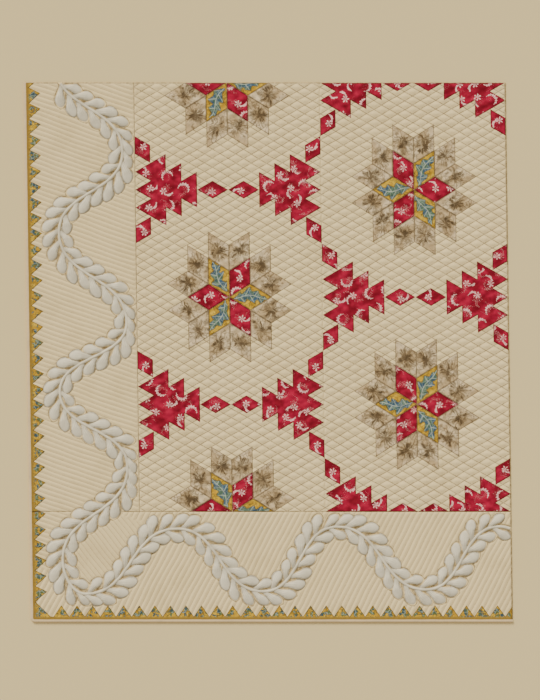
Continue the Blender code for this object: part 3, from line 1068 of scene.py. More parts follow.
@dataclass
class Relief:
    """Height of the quilted face, from its rows of stitches and its seams."""

    lay: Layout
    line: Array
    leaves: list[Leaf]
    low: float = 4.3 * MM
    field_rise: float = 3.7 * MM
    border_rise: float = 2.9 * MM
    stem_half: float = 7.5 * MM
    field_channel: float = 6.0 * MM
    border_channel: float = 3.9 * MM
    seam_channel: float = 3.5 * MM
    under_binding: float = 6.9 * MM
    free_edge: float = 2.6 * MM
    patch_lift: float = 0.35 * MM
    patch_puff: float = 0.75 * MM
    pressed: float = 0.9 * MM
    back_rise: float = 1.5 * MM
    raster_step: float = 2.5 * MM
    far: float = 50.0 * MM
    vine: Raster = field(init=False)
    cover: Raster = field(init=False)
    loop: Array = field(init=False)
    rows: dict[Region, tuple[Rows, ...]] = field(init=False)

    def __post_init__(self) -> None:
        """Work out the distance to the vine once, on a raster."""
        lay = self.lay
        hatch = lay.patch * ROOT3 / 4.0
        self.rows = {Region.FIELD: (Rows(30.0, hatch, 0.5), Rows(-30.0, hatch, 0.5)),
                     Region.LEFT: (Rows(-19.5, 16.4 * MM),),
                     Region.FOOT: (Rows(62.0, 17.4 * MM),),
                     Region.LOOP: (Rows(-52.0, 15.5 * MM),)}
        self.vine = Raster(lay, self.raster_step, self.far)
        self.cover = Raster(lay, self.raster_step, -self.far)
        for leaf in self.leaves:
            win = self.vine.window(leaf.spots(), 0.03)
            gx, gy = self.vine.grid(win)
            u, v = leaf.local(gx, gy)
            d = np.abs(v) - leaf_half_width(u / leaf.length) * leaf.width
            d = np.maximum(d, np.maximum(-u, u - leaf.length))
            self.vine.value[win] = np.minimum(self.vine.value[win], d)
        for p in self.line[::3]:
            win = self.vine.window(p[None, :], 0.03)
            gx, gy = self.vine.grid(win)
            d = np.hypot(gx - p[0], gy - p[1]) - self.stem_half
            self.vine.value[win] = np.minimum(self.vine.value[win], d)
        first = int(np.argmax(self.line[:, 1] < 0.005))
        last = int(np.argmax(self.line[:, 0] > 0.128))
        self.loop = self.line[first:last:10]

    def add_patch(self, outline: Outline) -> None:
        """Note an applied patch, so that the cloth under it lies a little lower.

        Args:
            outline: the patch's edge.
        """
        poly = np.asarray(outline)
        win = self.cover.window(poly, 0.0)
        gx, gy = self.cover.grid(win)
        d = rim_distance(poly, gx, gy) * np.where(inside(poly, gx, gy), 1.0, -1.0)
        self.cover.value[win] = np.maximum(self.cover.value[win], d)

    @staticmethod
    def warp(x: Array, y: Array) -> tuple[Array, Array]:
        """Small wander of hand-marked rows."""
        dx = 1.3 * MM * np.sin(21.0 * y + 9.0 * x) + 0.6 * MM * np.sin(67.0 * y - 31.0 * x + 1.0)
        dy = 1.3 * MM * np.sin(18.0 * x - 12.0 * y + 2.0) + 0.6 * MM * np.sin(59.0 * x + 40.0 * y)
        return x + dx, y + dy

    def region(self, x: Array, y: Array) -> Array:
        """Which quilting each place has, as numbers of Region.

        Args:
            x: positions across.
            y: positions up.

        Returns:
            The numbers.
        """
        out = np.full(x.shape, int(Region.FIELD))
        out[(x < 0) & (y >= 0)] = Region.LEFT
        foot = y < 0
        out[foot] = Region.FOOT
        out[foot & (x < -0.13) & (y > -0.20)] = Region.LEFT
        out[foot & inside(self.loop, x, y)] = Region.LOOP
        return out

    def rise(self, x: Array, y: Array, spread: float) -> Array:
        """Share of full puff, 0 along the stitches, the seams and the vine.

        Args:
            x: positions across.
            y: positions up.
            spread: how much wider than on the face the channels are.

        Returns:
            Shares from 0 to 1.
        """
        lay = self.lay
        wx, wy = self.warp(x, y)
        reg = self.region(x, y)
        out = np.ones(x.shape)
        for r, families in self.rows.items():
            here = reg == r
            wide = (self.field_channel if r == Region.FIELD else self.border_channel) * spread
            for rows in families:
                out[here] *= puff(rows.distance(wx[here], wy[here]), wide)
        seam = self.seam_channel * spread
        out *= puff(np.abs(y), seam) * np.where(y > -4 * MM, puff(np.abs(x), seam), 1.0)
        out *= np.where(y > 0, puff(np.abs(x - lay.col_w), seam), 1.0)
        return out * puff(np.maximum(self.vine.read(x, y) - 0.5 * MM, 0.0), 3.6 * MM * spread)

    def roll(self, x: Array, y: Array) -> Array:
        """Share of height near the free edges, 0 at the edge itself."""
        lay = self.lay
        free = np.clip(np.minimum(lay.field_w - x, lay.field_h - y) / (8.0 * MM), 0, 1)
        return np.sqrt(np.clip(1.0 - (1.0 - free) ** 2, 0, 1))

    def bound(self, x: Array, y: Array) -> Array:
        """Share of flatness under the binding and the toothed edging's strip."""
        return np.clip((22 * MM - np.minimum(x, y) - self.lay.border) / (10 * MM), 0, 1)

    def face(self, x: Array, y: Array) -> Array:
        """Top of the ground and border cloths, before patches press them.

        Args:
            x: positions across.
            y: positions up.

        Returns:
            Heights in metres.
        """
        span = np.where(self.region(x, y) == Region.FIELD, self.field_rise, self.border_rise)
        swell = 0.35 * MM * np.sin(13.0 * x + 5.0 * y) * np.sin(11.0 * y - 4.0 * x + 0.7)
        z = self.low + span * self.rise(x, y, 1.0) + swell
        z = z + (self.under_binding - z) * self.bound(x, y)
        return self.free_edge + (z - self.free_edge) * self.roll(x, y)

    def ground(self, x: Array, y: Array) -> Array:
        """Top of the ground and border cloths, lower where a patch covers them."""
        under = np.clip((self.cover.read(x, y) - 1.0 * MM) / (3.0 * MM), 0, 1)
        return self.face(x, y) - self.pressed * under

    def patch(self, x: Array, y: Array, depth: Array) -> Array:
        """Top of an applied patch at a depth inside its rim."""
        return self.face(x, y) + self.patch_lift + self.patch_puff * puff(depth, 2.2 * MM)

    def marks(self, x: Array, y: Array) -> Array:
        """Place in each family of rows, in rows, and how much the painted shade of the rows shows.

        Args:
            x: positions across.
            y: positions up.

        Returns:
            Two rows, how much their painted shade shows, and the distance to the nearest edge
            that takes painted shade: a leaf, the stem, a seam or a free edge.
        """
        wx, wy = self.warp(x, y)
        reg = self.region(x, y)
        out = np.full((len(x), 4), 0.5)
        for r, families in self.rows.items():
            here = reg == r
            for k, rows in enumerate(families):
                out[here, k] = rows.across(wx[here], wy[here])
        show = np.clip((np.minimum(x, y) + self.lay.border - 0.014) / (4.0 * MM), 0, 1)
        for dx, dy in ((4, 0), (-4, 0), (0, 4), (0, -4)):
            near = self.region(x + dx * MM, y + dy * MM)
            same_side = (y < 0) == (y + dy * MM < 0)
            show = np.where((near != reg) & same_side & (reg != Region.FIELD), 0.0, show)
        out[:, 2] = show
        lay = self.lay
        # Seams and the two free edges: distances for the painted shade line along them.
        seam = np.minimum(np.abs(y), np.where(y > -2 * MM, np.abs(x), 1.0)) + 1.6 * MM
        free = np.minimum(lay.field_w - x, lay.field_h - y) * 0.5 + 1.0 * MM
        out[:, 3] = np.minimum(self.vine.read(x, y), np.minimum(seam, free))
        return out

    def back(self, x: Array, y: Array) -> Array:
        """Under face of the backing: flat puffs and shallow channels.

        Args:
            x: positions across.
            y: positions up.

        Returns:
            Heights in metres.
        """
        z, bound = self.back_rise * (1.0 - self.rise(x, y, 1.15)), self.bound(x, y)
        z = z * (1.0 - bound) + 0.9 * MM * bound
        return z + (1.7 * MM - z) * (1.0 - self.roll(x, y))


# ---------------------------------------------------------------- mesh making
def new_object(name: str, verts: Array, faces: Faces, material: Material,
               smooth: bool = True) -> Object:
    """Make a mesh object.

    Args:
        name: object name.
        verts: points in the row frame.
        faces: vertex numbers, all of one length or of mixed lengths.
        material: the finish.
        smooth: shade it smooth.

    Returns:
        The linked object.
    """
    mesh = bpy.data.meshes.new(name)
    faces = [tuple(map(int, f)) for f in faces]
    mesh.from_pydata(verts.tolist(), [], faces)
    mesh.update()
    mesh.materials.append(material)
    if smooth:
        mesh.shade_smooth()
        mesh.set_sharp_from_angle(angle=math.radians(70))
    obj = bpy.data.objects.new(name, mesh)
    bpy.context.scene.collection.objects.link(obj)
    return obj


def store(obj: Object, name: str, values: Array) -> None:
    """Keep one vector for each vertex under a name that a material reads."""
    layer = obj.data.attributes.new(name, "FLOAT_VECTOR", "POINT")
    layer.data.foreach_set("vector", values.astype(np.float32).ravel())


def tube_faces(rings: int, around: int) -> list[tuple[int, ...]]:
    """Faces of a closed tube whose points run ring after ring.

    Args:
        rings: how many rings it has.
        around: how many points each ring has.

    Returns:
        The sides and both end caps.
    """
    faces = [(i * around + j, i * around + (j + 1) % around,
              (i + 1) * around + (j + 1) % around, (i + 1) * around + j)
             for i in range(rings - 1) for j in range(around)]
    last = (rings - 1) * around
    return faces + [tuple(range(around))[::-1], tuple(range(last, last + around))]


def triangulate(pts: Array, rim: int) -> tuple[Array, Array]:
    """Fill an outline with triangles that all face up.

    Args:
        pts: the outline's points, then the points inside it.
        rim: how many points the outline has.

    Returns:
        Points and triangles.
    """
    made = delaunay_2d_cdt([Vector(p) for p in pts], [], [list(range(rim))], 1, 1e-7)
    p = np.array([tuple(v) for v in made[0]])
    tris = np.array([f for f in made[2] if len(f) == 3])
    a, b, c = p[tris[:, 0]], p[tris[:, 1]], p[tris[:, 2]]
    turned = ((b - a)[:, 0] * (c - a)[:, 1] - (b - a)[:, 1] * (c - a)[:, 0]) < 0
    tris[turned] = tris[turned][:, ::-1]
    return p, tris


@dataclass
class Attach:
    """Ties pieces to the frame: which body they ride on and what they stand for."""

    lay: Layout
    bend: float = 0.040

    def tie(self, obj: Object, low: float, high: float) -> Object:
        """Ride on one body; a piece across the foot seam only has its transform applied.

        Args:
            obj: the piece.
            low: its lowest y in cloth coordinates.
            high: its highest y.

        Returns:
            The piece.
        """
        seam = self.lay.shift[1]
        if low >= -1e-4:
            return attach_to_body(obj, Body.FIELD.value)
        if high <= -self.bend:
            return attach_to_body(obj, Body.FOOT.value)
        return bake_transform(obj, Body.FIELD.value, Body.FOOT.value, start=(0.0, seam, 0.0),
                        end=(0.0, seam - self.bend, 0.0))

    def stand_in(self, obj: Object, node: str, low: float, high: float) -> None:
        """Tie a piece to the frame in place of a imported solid.

        Args:
            obj: the piece.
            node: the solid that it stands for.
            low: its lowest y in cloth coordinates.
            high: its highest y.
        """
        self.tie(obj, low, high)
        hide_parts(node)


def grid_cloth(name: str, lay: Layout, xs: Array, ys: Array,
               top: PlaneMap, thick: float, material: Material, round_corner: float,
               rows: PlaneMap | None) -> Object:
    """Closed thin cloth over a rectangle of cloth coordinates.

    Args:
        name: object name.
        lay: the layout.
        xs: grid lines across.
        ys: grid lines up.
        top: height of its upper side.
        thick: thickness, downwards.
        material: the finish.
        round_corner: radius of the low-left corner.
        rows: place in the rows of quilting, kept for the material.

    Returns:
        The cloth.
    """
    gx, gy = np.meshgrid(xs, ys, indexing="ij")
    if round_corner > 0.0:
        cx, cy = xs[0] + round_corner, ys[0] + round_corner
        dx, dy = cx - gx, cy - gy
        far = (dx > 0) & (dy > 0)
        pull = np.maximum(dx, dy) / np.maximum(np.hypot(dx, dy), 1e-9)
        gx, gy = np.where(far, cx - dx * pull, gx), np.where(far, cy - dy * pull, gy)
    z = top(gx, gy)
    nx, ny = gx.shape
    up = lay.world(gx, gy, z).reshape(-1, 3)
    down = lay.world(gx, gy, z - thick).reshape(-1, 3)
    idx = np.arange(nx * ny).reshape(nx, ny)
    a, b, c, d = idx[:-1, :-1], idx[1:, :-1], idx[1:, 1:], idx[:-1, 1:]
    quads = np.stack([a, b, c, d], -1).reshape(-1, 4)
    rim = np.concatenate([idx[:, 0], idx[-1, 1:], idx[-2::-1, -1], idx[0, -2:0:-1]])
    nxt = np.roll(rim, -1)
    n = nx * ny
    walls = np.stack([rim, rim + n, nxt + n, nxt], -1)
    faces = np.concatenate([quads, quads[:, ::-1] + n, walls])
    obj = new_object(name, np.concatenate([up, down]), faces, material)
    if rows is not None:
        place = rows(gx.ravel(), gy.ravel())
        store(obj, "rows", np.concatenate([place[:, :3], place[:, :3]]))
        clear = np.repeat(place[:, 3:4], 3, 1)
        store(obj, "edge", np.concatenate([clear, clear]))
    return obj


@dataclass
class Tailor:
    """Cuts a patch from an outline and lays it on the relief."""

    lay: Layout
    relief: Relief
    attach: Attach
    step: float = 6.0 * MM
    hem: float = 1.9 * MM

    def points(self, outline: Outline) -> tuple[Array, int]:
        """Points of a patch: its edge, a ring just inside it, and an even filling.

        Args:
            outline: the patch's edge.

        Returns:
            The points, and how many of them are on the edge.
        """
        edge, poly = resample(outline, self.step), np.asarray(outline)
        ring = np.asarray(inset([tuple(p) for p in edge], self.hem))
        keep = inside(poly, *ring.T) & (rim_distance(poly, *ring.T) > self.hem - 0.5 * MM)
        low, high = poly.min(0), poly.max(0)
        gy, gx = np.meshgrid(np.arange(low[1], high[1], self.step * ROOT3 / 2.0),
                             np.arange(low[0], high[0], self.step), indexing="ij")
        gx = gx + (np.arange(gx.shape[0]) % 2)[:, None] * self.step / 2.0
        fill = np.stack([gx.ravel(), gy.ravel()], 1)
        fill = fill[inside(poly, *fill.T) & (rim_distance(poly, *fill.T) > 4.6 * MM)]
        return np.concatenate([edge, ring[keep], fill]), len(edge)

    def cut(self, name: str, node: str, outline: Outline, material: Material,
            coords: PlaneMap, reach: float, plain: PlaneMap | None = None,
            flat: Point | None = None) -> None:
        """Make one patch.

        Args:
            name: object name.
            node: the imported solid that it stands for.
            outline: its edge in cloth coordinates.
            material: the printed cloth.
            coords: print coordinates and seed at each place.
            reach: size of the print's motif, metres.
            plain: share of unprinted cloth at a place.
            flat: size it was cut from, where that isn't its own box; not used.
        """
        poly = np.asarray(outline)
        p, tris = triangulate(*self.points(outline))
        x, y, n = p[:, 0], p[:, 1], len(p)
        depth = rim_distance(poly, x, y)
        floor = self.relief.face(x, y) - 0.25 * MM
        sides = dict.fromkeys((int(f[i]), int(f[i - 2])) for f in tris for i in range(3))
        walls = [(i, i + n, j + n, j) for i, j in sides if (j, i) not in sides]
        verts = np.concatenate([self.lay.world(x, y, self.relief.patch(x, y, depth)),
                                self.lay.world(x, y, floor)])
        obj = new_object(name, verts, [*tris, *(tris[:, ::-1] + n), *walls], material)
        bare = plain(x, y) if plain else np.zeros(n)
        store(obj, "print", np.tile(coords(x, y), (2, 1)))
        store(obj, "rim", np.tile(np.stack([depth, bare, np.full(n, reach)], 1), (2, 1)))
        low, high = poly.min(0), poly.max(0)
        self.attach.stand_in(obj, node, low[1], high[1])
        abs(area(outline))


@dataclass(frozen=True)
class Motif:
    """Place, direction and number of the one motif that a patch shows."""

    centre: Point
    turn: float
    seed: float

    def coords(self, x: Array, y: Array) -> Array:
        """Print coordinates about the motif's middle, and its number."""
        dx, dy = x - self.centre[0], y - self.centre[1]
        c, s = math.cos(self.turn), math.sin(self.turn)
        return np.stack([dx * c + dy * s, -dx * s + dy * c, np.full(len(x), self.seed)], 1)


# -------------------------------------------------------------- sub-assemblies
@dataclass
class Patchwork:
    """Clusters, chains and stars of the field."""

    lay: Layout
    tailor: Tailor
    prints: dict[Print, Material]
    air: float = 0.25 * MM

    def trimmed(self, poly: Outline, column: int) -> Outline:
        """Cut an outline to its column and leave a little air round it.

        Args:
            poly: the whole outline.
            column: 0 or 1, from the left.

        Returns:
            What is left of it.
        """
        lay, x0 = self.lay, column * self.lay.col_w
        poly = clip(clip(tidy(poly), 1, 0.0, True), 1, lay.field_h - TRIM, False)
        poly = clip(poly, 0, x0, True)
        right = x0 + lay.col_w - (TRIM if column == 1 else 0.0)
        return inset(clip(poly, 0, right, False), self.air)

    def units(self, points: Sequence[Point], cx: float, cy: float,
              mirror: bool) -> Outline:
        """Outline given in patch sides, set about a centre and perhaps mirrored."""
        s = self.lay.patch
        return [(cx + (-s if mirror else s) * a, cy + s * b) for a, b in points]

    def field_pieces(self) -> Iterable[tuple[str, Outline, Print, Point]]:
        """Every applied patch of the field.

        Returns:
            Name, outline, print and motif centre of each, clusters and chains first.
        """
        lay, r = self.lay, ROOT3
        cluster = [(r, -1), (r, 1), (r / 2, .5), (r / 2, 1.5), (0, 1), (0, 2), (-r, 1),
                   (-r / 2, .5), (-r, 0), (-r / 2, -.5), (-r, -1), (0, -2), (0, -1),
                   (r / 2, -1.5), (r / 2, -.5)]
        along = [(-r / 2, 0), (0, -.5), (r / 2, 0), (0, .5)]
        rising = [(-r / 2, 1.5), (-r / 2, 2.5), (-r, 3), (-r, 2)]
        for c in range(2):
            x0, link, k = c * lay.col_w, 0, 0
            y = lay.row / 2.0 if c == 0 else 0.0
            while y <= lay.field_h + 1e-6:
                k += 1
                for side, mirror in (("l", False), ("r", True)):
                    cx = x0 + (5.0 if mirror else 1.0) * r * lay.patch
                    yield (f"cluster_c{c + 1}_r{k}_{side}",
                           self.trimmed(self.units(cluster, cx, y, mirror), c),
                           Print.CRIMSON, (cx, y))
                    mid = x0 + (3.5 if mirror else 2.5) * r * lay.patch
                    for shape in (self.units(rising, cx, y, mirror),
                                  self.units([(a, -b) for a, b in rising], cx, y, mirror),
                                  self.units(along, mid, y, False)):
                        at = np.mean(shape, 0)
                        if -1e-6 < at[1] < lay.field_h + 1e-6:
                            link += 1
                            yield (f"chain_c{c + 1}_{link:02d}", self.trimmed(shape, c),
                                   Print.CRIMSON, (float(at[0]), float(at[1])))
                y += lay.row

    def star_pieces(self) -> Iterable[tuple[str, str, Outline, Print, Point, float]]:
        """Every diamond of every star.

        Returns:
            Piece name, the node it belongs to, outline, print, centre and direction.
        """
        lay = self.lay

        def arm(k: int) -> Array:
            """Side of the star's diamonds in one of six directions."""
            a = math.radians(30.0 + 60.0 * k)
            return np.array((math.cos(a) * lay.star_slim, math.sin(a))) * lay.star_side

        for c in range(2):
            k, y = 0, (0.0 if c == 0 else lay.row / 2.0)
            while y <= lay.field_h + 1e-6:
                k += 1
                hub = np.array(((c + 0.5) * lay.col_w, y))
                for j in range(6):
                    b, e, f = arm(j - 1), arm(j), arm(j + 1)
                    kind = Print.CHINTZ if (j + c) % 2 else Print.CRIMSON
                    shapes = [("core", kind, [0 * e, e, e + f, f]),
                              ("ring", Print.TOILE, [e, e + b, 2 * e + b, 2 * e]),
                              ("ring", Print.TOILE, [e, 2 * e, 2 * e + f, e + f])]
                    for n, (node, cloth, quad) in enumerate(shapes):
                        poly = tidy([tuple(hub + q) for q in quad])
                        ys = [p[1] for p in poly]
                        if max(ys) < 1e-4 or min(ys) > lay.field_h - 1e-4:
                            continue
                        mid = hub + sum(quad) / 4.0
                        out = quad[2] - quad[0]
                        yield (f"star_c{c + 1}_r{k}_{node}_{j + 1}{'abc'[n]}",
                               f"star_c{c + 1}_r{k}_{node}", self.trimmed(poly, c), cloth,
                               (float(mid[0]), float(mid[1])), math.atan2(out[1], out[0]))
                y += lay.row

    def build(self) -> None:
        """Cut and lay every patch of the field."""
        singles, stars = list(self.field_pieces()), list(self.star_pieces())
        for outline in [item[1] for item in singles] + [item[2] for item in stars]:
            self.tailor.relief.add_patch(outline)
        for n, (name, outline, cloth, centre) in enumerate(singles):
            self.tailor.cut(name + "_cloth", name, outline, self.prints[cloth],
                            Motif(centre, 0.6 + 1.7 * n, 3.0 + n).coords, 0.03)
        for n, (name, node, outline, cloth, centre, turn) in enumerate(stars):
            self.tailor.cut(name, node, outline, self.prints[cloth],
                            Motif(centre, turn, 60.0 + n).coords,
                            0.034 if cloth == Print.CHINTZ else 0.045)
        LOG.info("patches: %d clusters and chains, %d star diamonds", len(singles), len(stars))


@dataclass
class Sawtooth:
    """Chintz strip with teeth along the left and foot edges."""

    lay: Layout
    tailor: Tailor
    material: Material
    skew: float = 0.35

    def outline(self) -> Outline:
        """Strip and teeth of both borders in one outline, corner included.

        Returns:
            The outline, before it is cut at the free edges and the seam.
        """
        lay = self.lay
        outer = -lay.border + lay.bind_w * 0.55
        base = -lay.border + lay.bind_w + lay.strip_w
        pitch, tip = lay.tooth_pitch, lay.tip_line
        y = lay.left_tip + pitch * (math.ceil((lay.field_h - lay.left_tip) / pitch) + 1)
        pts: Outline = [(base, y + self.skew * pitch)]
        while y - (1.0 - self.skew) * pitch > base + lay.corner_leg - 0.2 * pitch:
            pts += [(tip, y), (base, y - (1.0 - self.skew) * pitch)]
            y -= pitch
        pts += [(base, base + lay.corner_leg), (base + lay.corner_leg, base)]
        x = lay.foot_tip
        while x < lay.field_w + pitch:
            pts += [(x - 0.5 * pitch, base), (x, tip)]
            x += pitch
        pts += [(x, base), (x, outer)]
        r = 8.0 * MM
        for i in range(6):
            a = 1.5 * math.pi - (math.pi / 2.0) * i / 5
            pts.append((outer + r + r * math.cos(a), outer + r + r * math.sin(a)))
        pts.append((outer, pts[0][1]))
        return tidy(pts)

    def coords(self, x: Array, y: Array) -> Array:
        """Print coordinates that repeat once in each tooth.

        Args:
            x: positions across.
            y: positions up.

        Returns:
            Place in the tooth, along and across, and the tooth's number.
        """
        lay = self.lay
        left = (x < lay.tip_line + 2 * MM) & (y > -lay.border + 0.075)
        run = np.where(left, y - lay.left_tip, x - lay.foot_tip) / lay.tooth_pitch
        tooth = np.floor(run + 0.5)
        base = -lay.border + lay.bind_w + lay.strip_w
        inward = np.where(left, x, y) - base - 0.016
        corner = (x < base + lay.corner_leg) & (y < base + lay.corner_leg)
        u = np.where(corner, x - base - 0.012, (run - tooth) * lay.tooth_pitch)
        v = np.where(corner, y - base - 0.012, inward)
        return np.stack([u, v, 7.0 + tooth * 1.31 + np.where(left, 50.0, 0.0)], 1)

    def plain(self, x: Array, y: Array) -> Array:
        """Share of plain strip: whole along the outer edge, none in the teeth."""
        lay = self.lay
        inward = np.minimum(x, y) + lay.border - lay.bind_w
        return np.clip((lay.strip_w + 1.0 * MM - inward) / (2.0 * MM), 0, 1)

    def build(self) -> None:
        """Cut the strip at the foot seam and lay both lengths."""
        lay = self.lay
        whole = clip(self.outline(), 0, lay.field_w - TRIM, False)
        whole = clip(whole, 1, lay.field_h - TRIM, False)
        deep = lay.strip_w + lay.tooth_h + lay.bind_w * 0.45
        for node, poly, run in (
                ("sawtooth_left", clip(whole, 1, GAP, True), lay.field_h),
                ("sawtooth_foot", clip(whole, 1, -GAP, False), lay.field_w + 2 * lay.border)):
            self.tailor.relief.add_patch(poly)
            self.tailor.cut(node + "_cloth", node, poly, self.material, self.coords, 0.026,
                            self.plain, (run, deep))
        LOG.info("sawtooth edging laid")


@dataclass
class Cloths:
    """Ground columns, border strips, wadding and backing."""

    lay: Layout
    relief: Relief
    attach: Attach
    finishes: dict[str, Material]
    thick: float = 0.7 * MM
    seam: float = 0.25 * MM
    wall: float = 1.2 * MM
    batt_top: float = 3.1 * MM

    @staticmethod
    def lines(low: float, high: float, step: float) -> Array:
        """Grid lines from low to high, closer at both ends.

        Args:
            low: the first line.
            high: the last line.
            step: distance between lines, about.

        Returns:
            The lines.
        """
        n = max(2, round((high - low) / step))
        inner = np.linspace(low, high, n + 1)[1:-1]
        inner = inner[(inner > low + 1.6 * step / 2) & (inner < high - 1.6 * step / 2)]
        end = np.array((0.0, 0.12, 0.45)) * step
        return np.concatenate([low + end, inner, high - end[::-1]])

    def batt(self, x: Array, y: Array) -> Array:
        """Top of the wadding."""
        return self.batt_top + 0.1 * MM * np.sin(40 * x) * np.sin(37 * y)

    def back(self, x: Array, y: Array) -> Array:
        """Top of the backing."""
        return self.relief.back(x, y) + self.thick

    def build(self) -> None:
        """Make every whole cloth."""
        lay, relief, s = self.lay, self.relief, self.seam
        high, wide, col = lay.field_h, lay.field_w, lay.col_w
        edge, leg = -lay.border + self.wall, -lay.border + lay.bind_w * 0.5
        sunk, trim = edge + 6 * MM, 9 * MM
        quilt = ("_quilted", relief.ground, self.thick, relief.marks)
        under = ("_cloth", self.back, self.thick, relief.marks)
        fill = ("_batt", self.batt, 0.6 * MM, None)
        jobs = [
            ("ground_column_1", (s, col - s), (s, high), 5.0, 0.0, "ground", quilt),
            ("ground_column_2", (col + s, wide), (s, high), 5.0, 0.0, "ground", quilt),
            ("border_cloth_left", (edge, -s), (s, high), 3.7, 0.0, "border", quilt),
            ("border_cloth_foot", (edge, wide), (edge, -s), 3.9, lay.corner_r - self.wall,
             "border", quilt),
            ("backing_field", (leg, wide), (s, high), 7.4, 0.0, "backing", under),
            ("backing_foot", (leg, wide), (leg, -s), 7.4, 10 * MM, "backing", under),
            ("wadding_field", (sunk, wide - trim), (s, high - trim), 30.0, 0.0, "wadding", fill),
            ("wadding_foot", (sunk, wide - trim), (sunk, -s), 30.0, 0.0, "wadding", fill),
        ]
        for node, xr, yr, step, corner, finish, (suffix, top, thick, rows) in jobs:
            xs, ys = self.lines(*xr, step * MM), self.lines(*yr, step * MM)
            obj = grid_cloth(node + suffix, lay, xs, ys, top, thick, self.finishes[finish],
                             corner, rows)
            self.attach.stand_in(obj, node, ys[0], ys[-1])
            layer = "backing" if finish == "wadding" else "wadding"
            layer + ("_field" if yr[0] > 0 else "_foot")
        LOG.info("ground, border, wadding and backing cloths laid")


@dataclass
class Binding:
    """Rolled tape round the left and foot edges."""

    lay: Layout
    attach: Attach
    material: Material
    top: float = 8.7 * MM
    thick: float = 0.8 * MM

    def path(self) -> tuple[Array, Array, Array]:
        """Outer edge from the top of the left border to the right end of the foot.

        Returns:
            Points, inward directions and distances along the path.
        """
        lay, r, step = self.lay, self.lay.corner_r, 5.0 * MM
        left = np.arange(lay.field_h, -lay.border + r, -step)
        pts = [(-lay.border, y) for y in left]
        dirs = [(1.0, 0.0)] * len(pts)
        for i in range(9):
            a = math.pi + (math.pi / 2.0) * i / 8
            pts.append((-lay.border + r + r * math.cos(a), -lay.border + r + r * math.sin(a)))
            dirs.append((-math.cos(a), -math.sin(a)))
        foot = np.arange(-lay.border + r + step, lay.field_w, step)
        pts += [(x, -lay.border) for x in foot] + [(lay.field_w, -lay.border)]
        dirs += [(0.0, 1.0)] * (len(foot) + 1)
        p, d = np.asarray(pts), np.asarray(dirs)
        run = np.concatenate([[0], np.cumsum(np.hypot(*np.diff(p, axis=0).T))])
        return p, d, run

    def section(self) -> Array:
        """Folded tape seen end on: outer face, then back along the inner face.

        Returns:
            Distances inwards and heights.
        """
        w, t, h = self.lay.bind_w, self.thick, self.top
        outer = [(w, h - 0.5 * MM), (w * 0.62, h), (w * 0.28, h - 0.1 * MM),
                 (0.7 * MM, h - 1.2 * MM), (0.0, h * 0.62), (0.0, h * 0.35),
                 (0.6 * MM, 0.9 * MM), (w * 0.28, 0.05 * MM), (w * 0.62, 0.0), (w, 0.15 * MM)]
        inner = [(w, 0.15 * MM + t), (w * 0.62, t), (w * 0.3, t + 0.05 * MM), (1.3 * MM, 1.5 * MM),
                 (t, h * 0.4), (t, h * 0.6), (1.4 * MM, h - 1.8 * MM), (w * 0.3, h - t - 0.1 * MM),
                 (w * 0.62, h - t), (w, h - 0.5 * MM - t)]
        return np.asarray(outer + inner)

    def build(self) -> None:
        """Sweep the tape and cut it at the foot seam."""
        lay = self.lay
        p, d, run = self.path()
        sec_a, sec_z = self.section().T
        lift = np.clip((sec_z - 4 * MM) / (4 * MM), 0, 1)
        for where, pick in (("left", p[:, 1] > GAP), ("foot", p[:, 1] < -GAP)):
            q, n, s = p[pick], d[pick], run[pick]
            if where == "left":
                q = np.concatenate([q, [(-lay.border, GAP)]])
                n, s = np.concatenate([n, n[-1:]]), np.concatenate([s, s[-1:] + 2 * MM])
            else:
                q = np.concatenate([[(-lay.border, -GAP)], q])
                n, s = np.concatenate([n[:1], n]), np.concatenate([s[:1] - 2 * MM, s])
            ripple = 0.22 * MM * np.sin(s * 420.0) + 0.15 * MM * np.sin(s * 173.0 + 1.0)
            a = sec_a * (1 - 0.02 * np.sin(s * 90.0))[:, None]
            z = sec_z + ripple[:, None] * lift
            x, y = q[:, :1] + n[:, :1] * a, q[:, 1:] + n[:, 1:] * a
            obj = new_object(f"binding_{where}_tape", lay.world(x, y, z).reshape(-1, 3),
                             tube_faces(*a.shape), self.material)
            self.attach.stand_in(obj, f"binding_{where}", float(y.min()), float(y.max()))
            2 * lay.bind_w + self.top
        LOG.info("binding folded over the edge")


